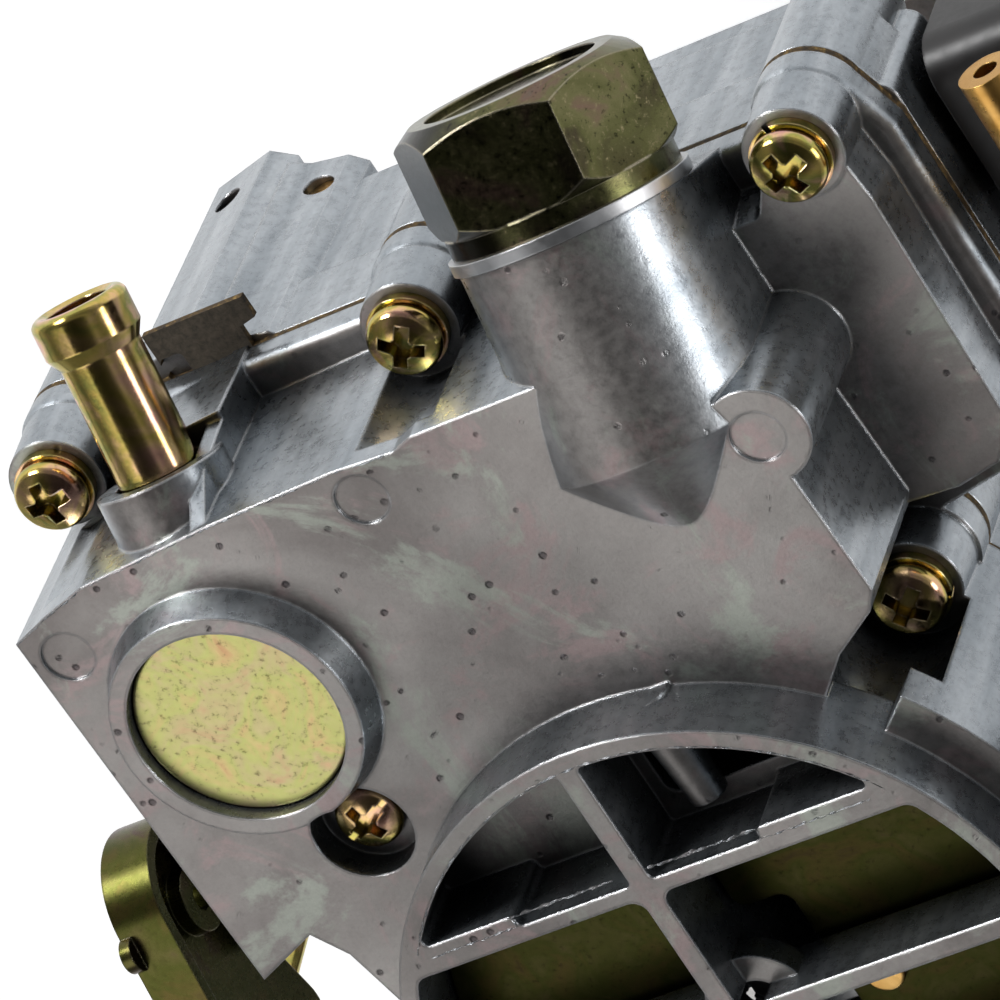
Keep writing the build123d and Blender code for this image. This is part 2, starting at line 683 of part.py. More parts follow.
def stack_outline(z):
    """The shared outline of the body's foot, the insulator and the throttle body's top."""
    with BuildSketch(Plane.XY.offset(z)) as sketch:
        RectangleRounded(*BODY_SIZE, 8.0)
        with Locations((-BARREL_X, 0)):
            Circle(PRIMARY_R, mode=Mode.SUBTRACT)
        with Locations((BARREL_X, 0)):
            Circle(SECONDARY_R, mode=Mode.SUBTRACT)
        with GridLocations(*BODY_SCREWS, 2, 2):
            Circle(BODY_SCREW_R + 0.2, mode=Mode.SUBTRACT)
    return sketch.sketch


with BuildPart() as insulator_gaskets:
    for z in (THROTTLE_BODY_TOP, BODY_Z - GASKET_T):
        add(extrude(stack_outline(z), GASKET_T, mode=Mode.PRIVATE))
finish(insulator_gaskets, "insulator_gaskets")

with BuildPart() as insulator_block:
    add(extrude(stack_outline(THROTTLE_BODY_TOP + GASKET_T), INSULATOR_T, mode=Mode.PRIVATE))
finish(insulator_block, "insulator_block")

with BuildPart() as throttle_body:
    with BuildSketch():
        RectangleRounded(*BASE_FLANGE, 9.0)
    extrude(amount=BASE_FLANGE_H)
    with BuildSketch():
        RectangleRounded(*BODY_SIZE, 8.0)
    extrude(amount=THROTTLE_BODY_TOP)

    # idle speed screw lug
    with BuildSketch(Plane.XY.offset(IDLE_LUG_Z[0])):
        with Locations((-41.5, IDLE_LUG_Y)):
            RectangleRounded(13.0, 8.0, 2.0)
    extrude(amount=IDLE_LUG_Z[1] - IDLE_LUG_Z[0])
    # shaft bosses
    with BuildSketch(plane_x(-40.5, THROTTLE_YZ)):
        Circle(7.0)
    extrude(amount=81.0)

    with BuildSketch():
        with Locations((-BARREL_X, 0)):
            Circle(PRIMARY_R)
        with Locations((BARREL_X, 0)):
            Circle(SECONDARY_R)
        with GridLocations(*STUD_SPAN, 2, 2):
            Circle(STUD_HOLE_R)
        with GridLocations(*BODY_SCREWS, 2, 2):
            Circle(BODY_SCREW_R + 0.2)
    extrude(amount=THROTTLE_BODY_TOP, mode=Mode.SUBTRACT)
    with BuildSketch():
        with GridLocations(*BODY_SCREWS, 2, 2):
            Circle(4.4)
    extrude(amount=4.5, mode=Mode.SUBTRACT)
    with BuildSketch(plane_x(-41.0, THROTTLE_YZ)):
        Circle(THROTTLE_SHAFT_R + RUN_GAP)
    extrude(amount=82.0, mode=Mode.SUBTRACT)
    with BuildSketch(Plane.XY.offset(IDLE_LUG_Z[0])):
        with Locations((IDLE_SCREW_X, IDLE_LUG_Y)):
            Circle(2.0 + RUN_GAP)
    extrude(amount=7.0, mode=Mode.SUBTRACT)
    with BuildSketch(Plane.XZ.offset(29.0)):
        with Locations((-BARREL_X, MIX_Z), (BARREL_X, MIX_Z)):
            Circle(MIX_R + RUN_GAP)
    extrude(amount=-12.5, mode=Mode.SUBTRACT)
    with BuildSketch(Plane.XZ.offset(-29.0)):
        with Locations((TUBE_X, MIX_Z)):
            Circle(2.5)
    extrude(amount=8.0, mode=Mode.SUBTRACT)
finish(throttle_body, "throttle_body")


# ---------------------------------------------------------------- fixed fasteners

cover_screw = pan_screw(HEAD_R, HEAD_H, SCREW_R, 17.0)
lock_washer = spring_washer(SCREW_HOLE_R, WASHER_R, WASHER_T)

with BuildPart() as cover_screws:
    for i, (x, y) in enumerate(COVER_SCREWS):
        add(Location((x, y, COLUMN_TOP + WASHER_T), (0, 0, 37 * i + 20)) * cover_screw)
finish(cover_screws, "cover_screws")

with BuildPart() as cover_lock_washers:
    for i, (x, y) in enumerate(COVER_SCREWS):
        add(Location((x, y, COLUMN_TOP), (0, 0, 80 * i + 100)) * lock_washer)
finish(cover_lock_washers, "cover_lock_washers")

with BuildPart() as well_screw:
    with Locations(Location((*WELL_XY, ROOF_Z - WELL_DEPTH), (0, 0, 25))):
        add(pan_screw(3.3, 2.3, WELL_SCREW_R, 9.0))
    with Locations(Location((*WELL_XY, ROOF_Z - WELL_DEPTH + 2.3), (0, 0, 25))):
        Box(7.0, 0.7, 1.6, mode=Mode.SUBTRACT)
finish(well_screw, "well_screw")

body_screw = pan_screw(4.0, 3.0, BODY_SCREW_R, THROTTLE_BODY_TOP + 6.0)
with BuildPart() as throttle_body_screws:
    with Locations(Location((0, 0, 4.5), (180, 0, 0))):
        with GridLocations(*BODY_SCREWS, 2, 2):
            add(body_screw)
finish(throttle_body_screws, "throttle_body_screws")


# ---------------------------------------------------------------- fuel fittings

HEX_AF = 22.0
HEX_H = 10.4
COLLAR_R = 11.2
HEX_OUT_R = 12.7
HEX_DISH_R = 8.4
COLLAR_T = 2.0
SEAL_T = 1.2
HEX_TOP = COLLAR_T + HEX_H
HEX_TURN = 8.0

with BuildPart() as strainer_plug_washer:
    with BuildSketch(strainer_seat):
        Circle(SEAL_R)
        Circle(STRAINER_THREAD_R + 0.1, mode=Mode.SUBTRACT)
    extrude(amount=SEAL_T)
finish(strainer_plug_washer, "strainer_plug_washer")

hex_plane = fuel_plane(STRAINER_SEAT, FUEL_DIP, SEAL_T)
with BuildPart() as strainer_plug:
    with BuildSketch(fuel_plane(STRAINER_SEAT, FUEL_DIP, SEAL_T + COLLAR_T)):
        RegularPolygon(HEX_AF / 2, 6, major_radius=False, rotation=HEX_TURN)
    extrude(amount=HEX_H)
    # a cone at each end trims the corners of the hexagon
    with BuildSketch(Plane(origin=hex_plane.origin, x_dir=hex_plane.x_dir, z_dir=-hex_plane.y_dir)):
        with BuildLine():
            Polyline(
                (0, COLLAR_T), (11.4, COLLAR_T), (HEX_OUT_R, COLLAR_T + 1.2), (HEX_OUT_R, HEX_TOP - 1.7),
                (10.0, HEX_TOP), (0, HEX_TOP), (0, COLLAR_T),
            )
        make_face()
    revolve(axis=Axis(hex_plane.origin, hex_plane.z_dir), mode=Mode.INTERSECT)
    with BuildSketch(fuel_plane(STRAINER_SEAT, FUEL_DIP, SEAL_T + HEX_TOP)):
        Circle(HEX_DISH_R)
    extrude(amount=-0.9, mode=Mode.SUBTRACT)
    with BuildSketch(hex_plane):
        Circle(COLLAR_R)
    extrude(amount=COLLAR_T)
    # thread, hollow for the strainer
    with BuildSketch(hex_plane):
        Circle(STRAINER_THREAD_R)
    extrude(amount=-(SEAL_T + STRAINER_THREAD_L - 1.0))
    with BuildSketch(strainer_seat):
        Circle(5.0)
    extrude(amount=-STRAINER_THREAD_L, mode=Mode.SUBTRACT)
finish(strainer_plug, "strainer_plug")

with BuildPart() as inlet_strainer:
    with BuildSketch(fuel_plane(STRAINER_SEAT, FUEL_DIP, -1.0)):
        Circle(4.9)
        Circle(4.3, mode=Mode.SUBTRACT)
    extrude(amount=-17.0)
    with BuildSketch(fuel_plane(STRAINER_SEAT, FUEL_DIP, -17.0)):
        Circle(4.9)
    extrude(amount=-1.0)
finish(inlet_strainer, "inlet_strainer")

NIPPLE_L = 17.4
BARB_R = 4.8
BARB_SPAN = (NIPPLE_L - 3.8, NIPPLE_L - 1.0)

with BuildPart() as fuel_nipple:
    with BuildSketch(Plane(origin=nipple_seat.origin, x_dir=nipple_seat.x_dir, z_dir=-nipple_seat.y_dir)):
        with BuildLine():
            Polyline(
                (3.0, -6.0), (NIPPLE_PRESS_R - 0.01, -6.0), (NIPPLE_PRESS_R - 0.01, -1.2), (NIPPLE_R, -0.6),
                (NIPPLE_R, NIPPLE_L - 5.2), (BARB_R, BARB_SPAN[0]), (BARB_R, BARB_SPAN[1]),
            )
            ThreePointArc((BARB_R, BARB_SPAN[1]), (BARB_R - 0.35, NIPPLE_L - 0.2), (BARB_R - 1.0, NIPPLE_L))
            Polyline((BARB_R - 1.0, NIPPLE_L), (3.0, NIPPLE_L - 0.3), (3.0, -6.0))
        make_face()
    revolve(axis=Axis(nipple_seat.origin, nipple_seat.z_dir))
finish(fuel_nipple, "fuel_nipple")

with BuildPart() as core_plug:
    with BuildSketch(Plane.XY.offset(ROOF_Z + 0.4)):
        with Locations(PLUG_XY):
            Circle(PLUG_R - 0.01)
    extrude(amount=1.6)
    fillet(core_plug.faces().sort_by(Axis.Z)[-1].edges(), 0.5)
finish(core_plug, "core_plug")


# ---------------------------------------------------------------- float gear

NEEDLE_TIP = 94.5
NEEDLE_FOOT = FLOAT_YZ[1] + 1.4
SEAT_FOOT = 87.5
FLOAT_X = (-14.0, 32.0)
FLOAT_ARM_X = (15.5, 23.5)

with BuildPart() as needle_seat:
    with BuildSketch(Plane.XY.offset(SEAT_FOOT)):
        with Locations((STRAINER_SEAT.X, NEEDLE_Y)):
            Circle(SEAT_OUT_R)
            Circle(2.6, mode=Mode.SUBTRACT)
    extrude(amount=SEAT_TOP - SEAT_FOOT - 1.5)
    with BuildSketch(Plane.XY.offset(SEAT_TOP - 1.5)):
        with Locations((STRAINER_SEAT.X, NEEDLE_Y)):
            Circle(SEAT_OUT_R)
            Circle(1.2, mode=Mode.SUBTRACT)
    extrude(amount=1.4)
finish(needle_seat, "needle_seat")

with BuildPart() as needle_valve:
    with BuildSketch(Plane.XY.offset(NEEDLE_FOOT)):
        with Locations((STRAINER_SEAT.X, NEEDLE_Y)):
            Circle(1.2)
    extrude(amount=2.5)
    with BuildSketch(Plane.XY.offset(NEEDLE_FOOT + 2.5)):
        with Locations((STRAINER_SEAT.X, NEEDLE_Y)):
            RegularPolygon(2.5, 3)
    extrude(amount=NEEDLE_TIP - NEEDLE_FOOT - 5.0)
    with BuildSketch(Plane.XY.offset(NEEDLE_TIP - 2.5)):
        with Locations((STRAINER_SEAT.X, NEEDLE_Y)):
            Circle(1.7)
    extrude(amount=3.4, taper=22)
finish(needle_valve, "needle_valve")

with BuildPart() as float_pin:
    with BuildSketch(plane_x(FLOAT_POSTS[0] - 3.0, FLOAT_YZ)):
        Circle(FLOAT_PIN_R - 0.01)
    extrude(amount=FLOAT_POSTS[1] - FLOAT_POSTS[0] + 6.0)
finish(float_pin, "float_pin")

with BuildPart() as fuel_float:
    with BuildSketch(Plane.XY.offset(63.0)):
        with Locations((sum(FLOAT_X) / 2, 52.5)):
            RectangleRounded(FLOAT_X[1] - FLOAT_X[0], 17.0, 4.0)
    extrude(amount=13.0)
    fillet(fuel_float.faces().sort_by(Axis.Z)[-1].edges(), 1.5)
    fillet(fuel_float.faces().sort_by(Axis.Z)[0].edges(), 1.5)
    with BuildSketch(plane_x(FLOAT_ARM_X[0], FLOAT_YZ)):
        with BuildLine():
            Polyline((0, -1.6), (13.0, -9.5), (17.0, -9.5), (7.5, 0.6), (7.5, 1.3), (0, 1.3), close=True)
        make_face()
        Circle(2.4)
    extrude(amount=FLOAT_ARM_X[1] - FLOAT_ARM_X[0])
    with BuildSketch(plane_x(FLOAT_ARM_X[0] - 1, FLOAT_YZ)):
        Circle(FLOAT_PIN_R + RUN_GAP)
    extrude(amount=12.0, mode=Mode.SUBTRACT)
finish(fuel_float, "fuel_float")


# ---------------------------------------------------------------- metering parts

BOOSTER_Z = 62.0
BOOSTER_H = 13.0


def booster(x, bore_r):
    """A booster ring hung in the bore from one arm."""
    with BuildPart() as ring:
        with BuildSketch(Plane.XY.offset(BOOSTER_Z)):
            with Locations((x, 0)):
                Circle(4.6)
        extrude(amount=BOOSTER_H)
        with BuildSketch(Plane.XY.offset(BODY_TOP - 8.0)):
            with Locations((x, bore_r / 2)):
                Rectangle(4.0, bore_r - 0.4)
        extrude(amount=5.0)
        fillet(ring.edges().filter_by(Axis.Y), 0.9)
        with BuildSketch(Plane.XY.offset(BOOSTER_Z)):
            with Locations((x, 0)):
                Circle(3.4)
        extrude(amount=BOOSTER_H, mode=Mode.SUBTRACT)
        with BuildSketch(Plane.XZ.offset(-bore_r)):
            with Locations((x, BODY_TOP - 5.5)):
                Circle(1.0)
        extrude(amount=bore_r, mode=Mode.SUBTRACT)
    return ring


for side, label in ((-1, "primary_booster"), (1, "secondary_booster")):
    finish(booster(side * BARREL_X, BORE_TOP_R), label)

with BuildPart() as main_jets:
    with BuildSketch(Plane.XY.offset(BOWL_FLOOR - 4.0)):
        with Locations(*[(x, 41.0) for x in JET_XS]):
            Circle(JET_R)
    extrude(amount=4.0)
    with BuildSketch(Plane.XY.offset(BOWL_FLOOR)):
        with Locations(*[(x, 41.0) for x in JET_XS]):
            Circle(3.2)
    extrude(amount=1.8)
    with BuildSketch(Plane.XY.offset(BOWL_FLOOR - 4.0)):
        with Locations(*[(x, 41.0) for x in JET_XS]):
            Circle(0.55)
    extrude(amount=6.0, mode=Mode.SUBTRACT)
    with Locations(*[(x, 41.0, BOWL_FLOOR + 1.8) for x in JET_XS]):
        Box(7.0, 0.8, 1.4, mode=Mode.SUBTRACT)
finish(main_jets, "main_jets")

with BuildPart() as passage_plug:
    with BuildSketch(Plane.XZ.offset(-67.4)):
        with Locations(PASSAGE_PLUG_XZ):
            Circle(1.58)
    extrude(amount=2.2)
finish(passage_plug, "passage_plug")

POWER_VALVE_XY = (-23.0, 52.0)

with BuildPart() as power_valve:
    with BuildSketch(Plane.XY.offset(BOWL_FLOOR)):
        with Locations(POWER_VALVE_XY):
            RegularPolygon(4.0, 6)
    extrude(amount=2.0)
    with BuildSketch(Plane.XY.offset(BOWL_FLOOR + 2.0)):
        with Locations(POWER_VALVE_XY):
            Circle(1.2)
    extrude(amount=1.4)
finish(power_valve, "power_valve")


# ---------------------------------------------------------------- choke

PLATE_T = 1.0
CHOKE_LEVER_X = -57.8
CHOKE_LEVER_T = 1.2
CHOKE_RIM = 5.4
CHOKE_SHAFT_X = (-59.0, 55.0)
ROD_R = 1.1
PIN_GAP = 0.08
CHOKE_ROD_X = -60.5
CAM_X = -52.5
CAM_T = 1.5
CHOKE_PLATE_SPANS = ((-HORN_IN_R, RIB_X[0] - 0.3), (RIB_X[1] + 0.3, HORN_IN_R))
choke_pin = (CHOKE_YZ[0] + CHOKE_ARM[0], CHOKE_YZ[1] + CHOKE_ARM[1])
cam_pin = (CAM_YZ[0] + CHOKE_ARM[0], CAM_YZ[1] + CHOKE_ARM[1])


def flatted_shaft(span, radius, yz, seats):
    """A shaft along X, cut away above its axis wherever a plate is screwed to it."""
    with BuildPart() as shaft:
        with BuildSketch(plane_x(span[0], yz)):
            Circle(radius)
        extrude(amount=span[1] - span[0])
        for low, high in seats:
            with BuildSketch(plane_x(low, yz)):
                with Locations((0, radius)):
                    Rectangle(3 * radius, 2 * radius)
            extrude(amount=high - low, mode=Mode.SUBTRACT)
        chamfer(shaft.faces().sort_by(Axis.X)[0].edges(), 0.4)
        chamfer(shaft.faces().sort_by(Axis.X)[-1].edges(), 0.4)
    return shaft


def plate_screws(xs, yz, plate_t, head_r):
    """Small cheese-head screws through a plate into its shaft."""
    with BuildPart() as screws:
        with BuildSketch(Plane.XY.offset(yz[1] + plate_t)):
            with Locations(*[(x, yz[0]) for x in xs]):
                Circle(head_r)
        extrude(amount=1.1)
        fillet(screws.faces().group_by(Axis.Z)[-1].edges(), 0.3)
        with Locations(*[(x, yz[0], yz[1] + plate_t + 1.1) for x in xs]):
            Box(3 * head_r, 0.6, 1.0, mode=Mode.SUBTRACT)
        with BuildSketch(Plane.XY.offset(yz[1] + plate_t)):
            with Locations(*[(x, yz[0]) for x in xs]):
                Circle(1.2)
        extrude(amount=-(plate_t + 1.6))
    return screws


choke_shaft = flatted_shaft(CHOKE_SHAFT_X, CHOKE_SHAFT_R, CHOKE_YZ, CHOKE_PLATE_SPANS)
choke_screw_xs = (-24.0, -10.0, 10.0, 24.0)
choke_shaft.part = choke_shaft.part - [
    Pos(x, CHOKE_YZ[0], CHOKE_YZ[1]) * Cylinder(1.22, 3.3) for x in choke_screw_xs
]
finish(choke_shaft, "choke_shaft")

with BuildPart() as choke_plates:
    with BuildSketch(Plane.XY.offset(PLATE_Z)) as plate_outline:
        Circle(HORN_IN_R - 0.3)
        with Locations((0, (CHORD_IN + REAR_CHORD_IN) / 2)):
            Rectangle(4 * HORN_R, CHORD_IN - REAR_CHORD_IN - 0.7, mode=Mode.INTERSECT)
        with Locations(((RIB_X[0] + RIB_X[1]) / 2, 0)):
            Rectangle(RIB_X[1] - RIB_X[0] + 1.0, 2 * HORN_R, mode=Mode.SUBTRACT)
        with Locations((0, -4.0)):
            Rectangle(2 * HUB_R + 1.4, 22.0, mode=Mode.SUBTRACT)
        fillet(plate_outline.vertices(), 1.4)
        with Locations(*[(x, CHOKE_YZ[0]) for x in choke_screw_xs]):
            Circle(1.25, mode=Mode.SUBTRACT)
    extrude(amount=PLATE_T)
finish(choke_plates, "choke_plates")
finish(plate_screws(choke_screw_xs, CHOKE_YZ, PLATE_T, 2.0), "choke_plate_screws")

CUP_YZ = (24.2, 95.4)
CUP_R = 7.7
CUP_BOSS_YZ = (21.0, 91.6)

with BuildPart() as choke_lever:
    with BuildSketch(plane_x(CHOKE_LEVER_X)) as lever_outline:
        with Locations(CHOKE_YZ):
            Circle(6.0)
        with Locations(CUP_YZ):
            Circle(CUP_R)
        with Locations(choke_pin):
            Circle(4.5)
        make_hull()
    extrude(amount=CHOKE_LEVER_T)
    with BuildSketch(plane_x(CHOKE_LEVER_X)):
        add(lever_outline.sketch_local)
        offset(amount=-1.3, mode=Mode.SUBTRACT)
        with Locations((0, 95.0)):
            Rectangle(22.0, 60.0, mode=Mode.SUBTRACT)
    extrude(amount=CHOKE_RIM)
    # stop tab on the rim and a riveted boss inside the cup
    with BuildSketch(plane_x(CHOKE_LEVER_X)):
        with Locations((CUP_YZ[0] - 0.4, CUP_YZ[1] + CUP_R)):
            Circle(1.8)
    extrude(amount=CHOKE_LEVER_T)
    with BuildSketch(plane_x(CHOKE_LEVER_X + CHOKE_LEVER_T)):
        with Locations(CUP_BOSS_YZ):
            Circle(3.4)
    extrude(amount=1.6)
    with BuildSketch(plane_x(CHOKE_LEVER_X - 1)):
        with Locations(CHOKE_YZ):
            Circle(CHOKE_SHAFT_R + 0.02)
        with Locations(choke_pin):
            Circle(ROD_R + PIN_GAP)
        with Locations(CUP_BOSS_YZ):
            Circle(1.3)
    extrude(amount=10.0, mode=Mode.SUBTRACT)
finish(choke_lever, "choke_lever")


def link_rod(points, radius, label):
    """A bent wire rod through the given points."""
    with BuildPart() as rod:
        with BuildLine() as path:
            FilletPolyline(*points, radius=2.0)
        with BuildSketch(Plane(origin=path.line @ 0, z_dir=path.line % 0)):
            Circle(radius)
        sweep()
    finish(rod, label)


link_rod(
    [
        point_x(choke_pin, CHOKE_LEVER_X + 2.6),
        point_x(choke_pin, CHOKE_ROD_X),
        point_x(cam_pin, CHOKE_ROD_X),
        point_x(cam_pin, CAM_X + 2.6),
    ],
    ROD_R, "choke_link_rod",
)

with BuildPart() as fast_idle_cam:
    with BuildSketch(plane_x(CAM_X, CAM_YZ)) as cam_arm:
        Circle(6.5)
        with Locations(CHOKE_ARM):
            Circle(3.6)
        make_hull()
    extrude(amount=CAM_T)
    for step, reach in enumerate((9.0, 10.5, 12.0, 13.5)):
        with BuildSketch(plane_x(CAM_X, CAM_YZ)):
            start = 150.0 + 24.0 * step
            with BuildLine():
                Line((0, 0), (reach * cos(radians(start)), reach * sin(radians(start))))
                CenterArc((0, 0), reach, start, 25.0)
                Line((reach * cos(radians(start + 25)), reach * sin(radians(start + 25))), (0, 0))
            make_face()
        extrude(amount=CAM_T)
    with BuildSketch(plane_x(CAM_X - 1, CAM_YZ)):
        Circle(2.5 + RUN_GAP)
        with Locations(CHOKE_ARM):
            Circle(ROD_R + PIN_GAP)
    extrude(amount=5.0, mode=Mode.SUBTRACT)
finish(fast_idle_cam, "fast_idle_cam")

with BuildPart() as cam_stud:
    with BuildSketch(plane_x(CAM_X - 1.3, CAM_YZ)):
        Circle(3.8)
    extrude(amount=1.2)
    with BuildSketch(plane_x(CAM_X - 0.2, CAM_YZ)):
        Circle(2.5)
    extrude(amount=24.0)
    with BuildSketch(plane_x(CAM_X + CAM_T + 0.1, CAM_YZ)):
        Circle(3.4)
    extrude(amount=-38.0 - CAM_X - CAM_T - 0.2)
finish(cam_stud, "cam_stud")


# ---------------------------------------------------------------- choke thermostat

CAP_R = 13.2
RIM_R = 15.8

with BuildPart() as choke_cap:
    with BuildSketch(plane_x(CHOKE_CASE_X, CHOKE_YZ)):
        Circle(RIM_R)
    extrude(amount=2.0)
    with BuildSketch(plane_x(CHOKE_CASE_X + 2.0, CHOKE_YZ)):
        Circle(CAP_R)
    extrude(amount=13.0)
    fillet(choke_cap.faces().sort_by(Axis.X)[-1].edges(), 2.0)
    with BuildSketch(plane_x(CHOKE_CASE_X, CHOKE_YZ)):
        Circle(CAP_R - 1.8)
    extrude(amount=12.5, mode=Mode.SUBTRACT)
    with BuildSketch(plane_x(CHOKE_CASE_X + 15.0, CHOKE_YZ)):
        with PolarLocations(CAP_R, 12):
            Circle(1.0)
    extrude(amount=-11.0, mode=Mode.SUBTRACT)
finish(choke_cap, "choke_cap")

with BuildPart() as choke_cap_ring:
    with BuildSketch(plane_x(CHOKE_CASE_X, CHOKE_YZ)):
        Circle(CHOKE_CASE_R - 0.3)
        Circle(RIM_R + 0.1, mode=Mode.SUBTRACT)
        with PolarLocations(CASE_SCREW_RING, 3, 90):
            Circle(CASE_SCREW_R + 0.1, mode=Mode.SUBTRACT)
    extrude(amount=2.0)
    with BuildSketch(plane_x(CHOKE_CASE_X + 2.0, CHOKE_YZ)):
        Circle(CHOKE_CASE_R - 0.3)
        Circle(CAP_R + 0.15, mode=Mode.SUBTRACT)
        with PolarLocations(CASE_SCREW_RING, 3, 90):
            Circle(CASE_SCREW_R + 0.1, mode=Mode.SUBTRACT)
    extrude(amount=1.4)
finish(choke_cap_ring, "choke_cap_ring")

cap_screw = pan_screw(2.8, 2.0, CASE_SCREW_R - 0.04, 8.0)
with BuildPart() as choke_cap_screws:
    for turn in (90, 210, 330):
        spot = (
            CHOKE_CASE_X + 3.4,
            CHOKE_YZ[0] + CASE_SCREW_RING * cos(radians(turn)),
            CHOKE_YZ[1] + CASE_SCREW_RING * sin(radians(turn)),
        )
        add(Location(spot, (0, 90, 0)) * cap_screw)
finish(choke_cap_screws, "choke_cap_screws")

with BuildPart() as thermostat_spring:
    with BuildSketch(plane_x(CHOKE_CASE_X + 6.0, CHOKE_YZ)):
        for ring in range(4):
            Circle(4.4 + 1.8 * ring)
            Circle(3.9 + 1.8 * ring, mode=Mode.SUBTRACT)
        with Locations((7.1, 0)):
            Rectangle(6.0, 0.5)
    extrude(amount=4.0)
finish(thermostat_spring, "thermostat_spring")


# ---------------------------------------------------------------- vent valve on the +X side

with BuildPart() as vent_valve:
    with BuildSketch(plane_x(VALVE_X, VALVE_YZ)):
        RectangleRounded(27.0, 30.0, 4.0)
    extrude(amount=20.0)
    fillet(vent_valve.faces().sort_by(Axis.X)[-1].edges(), 2.5)
    with BuildSketch(plane_x(VALVE_X + 20.0, VALVE_YZ)):
        Circle(8.0)
    extrude(amount=3.0)
    with BuildSketch(Plane.XY.offset(VALVE_YZ[1] + 15.0)):
        with Locations((60.0, 52.0)):
            Circle(2.7)
    extrude(amount=-5.0, mode=Mode.SUBTRACT)
finish(vent_valve, "vent_valve")

TUBE_R = 2.7
TUBE_TOP = ROOF_Z - 16.7
with BuildPart() as valve_nipple:
    with BuildLine() as path:
        FilletPolyline((60.0, 52.0, VALVE_YZ[1] + 11.0), (60.0, 52.0, TUBE_TOP), (60.0, 69.2, TUBE_TOP), radius=3.5)
    with BuildSketch(Plane(origin=path.line @ 0, z_dir=path.line % 0)):
        Circle(TUBE_R - 0.01)
        Circle(1.2, mode=Mode.SUBTRACT)
    sweep()
finish(valve_nipple, "valve_nipple")


# ---------------------------------------------------------------- throttle

THROTTLE_PLATE_T = 1.4
THROTTLE_SHAFT_X = (-45.5, 52.0)
bores = ((-BARREL_X, PRIMARY_R), (BARREL_X, SECONDARY_R))
throttle_screw_xs = [x + side * 6.0 for x, _ in bores for side in (-1, 1)]
throttle_shaft = flatted_shaft(
    THROTTLE_SHAFT_X, THROTTLE_SHAFT_R, THROTTLE_YZ, [(x - r, x + r) for x, r in bores]
)
throttle_shaft.part = throttle_shaft.part - [
    Pos(x, THROTTLE_YZ[0], THROTTLE_YZ[1]) * Cylinder(1.22, 3.3) for x in throttle_screw_xs
]
finish(throttle_shaft, "throttle_shaft")

with BuildPart() as throttle_plates:
    for x, r in bores:
        with BuildSketch(Plane.XY.offset(THROTTLE_YZ[1])):
            with Locations((x, 0)):
                Circle(r - 0.13)
            with Locations((x - 6.0, 0), (x + 6.0, 0)):
                Circle(1.25, mode=Mode.SUBTRACT)
        extrude(amount=THROTTLE_PLATE_T)
finish(throttle_plates, "throttle_plates")
finish(plate_screws(throttle_screw_xs, THROTTLE_YZ, THROTTLE_PLATE_T, 2.2), "throttle_plate_screws")

half_travel = radians(THROTTLE_TRAVEL / 2)
pump_pin = (
    THROTTLE_YZ[0] - PUMP_THROTTLE_ARM * cos(half_travel),
    THROTTLE_YZ[1] - PUMP_THROTTLE_ARM * sin(half_travel),
)
throttle_arms = {
    "pump": ((pump_pin[0] - THROTTLE_YZ[0], pump_pin[1] - THROTTLE_YZ[1]), 3.8, ROD_R + PIN_GAP),
    "cable": ((-20.0, 8.0), 4.2, 2.5),
    "stop": ((IDLE_LUG_Y, 1.2), 3.0, 0.0),
}

with BuildPart() as throttle_lever:
    for spot, end_r, _ in throttle_arms.values():
        with BuildSketch(plane_x(LEVER_X, THROTTLE_YZ)):
            Circle(7.5)
            with Locations(spot):
                Circle(end_r)
            make_hull()
        extrude(amount=LEVER_T)
    with BuildSketch(plane_x(LEVER_X - 1, THROTTLE_YZ)):
        Circle(THROTTLE_SHAFT_R + 0.02)
        for spot, _, hole_r in throttle_arms.values():
            if hole_r:
                with Locations(spot):
                    Circle(hole_r)
    extrude(amount=6.0, mode=Mode.SUBTRACT)
finish(throttle_lever, "throttle_lever")

with BuildPart() as throttle_nut:
    with BuildSketch(plane_x(LEVER_X - 3.0, THROTTLE_YZ)):
        RegularPolygon(5.0, 6, major_radius=False)
        Circle(THROTTLE_SHAFT_R + 0.02, mode=Mode.SUBTRACT)
    extrude(amount=2.9)
finish(throttle_nut, "throttle_nut")

return_coil = coil(6.0, 0.6, 7.2, 5, plane_x(41.6, THROTTLE_YZ))
with BuildPart() as throttle_return_spring:
    add(return_coil)
finish(throttle_return_spring, "throttle_return_spring")

with BuildPart() as spring_retainer:
    with BuildSketch(plane_x(50.2, THROTTLE_YZ)):
        Circle(7.5)
        Circle(THROTTLE_SHAFT_R + 0.02, mode=Mode.SUBTRACT)
    extrude(amount=1.4)
finish(spring_retainer, "spring_retainer")


# ---------------------------------------------------------------- accelerator pump

PUMP_LEVER_X = -44.5
PUMP_LEVER_T = 2.0
PUMP_ROD_X = -47.0
PUMP_ROD_LEAN = -4.07
PUMP_ROD_H = PUMP_YZ[1] - THROTTLE_YZ[1]
SLOT_HALF = 1.5
FORK_T = 2.0
FORK_GAP = 2.3
PLUNGER_Y = PUMP_YZ[0] - PUMP_INNER_ARM
droop = radians(PUMP_SWING / 2)
GROOVE_Z = PUMP_YZ[1] + PUMP_INNER_ARM * sin(droop)
GROOVE_HALF = 2.25


def pump_plane(x):
    """The pump lever's own plane at rest: local x runs out along its drooping outer arm."""
    return Plane(origin=(x, *PUMP_YZ), x_dir=(0, cos(droop), -sin(droop)), z_dir=(1, 0, 0))


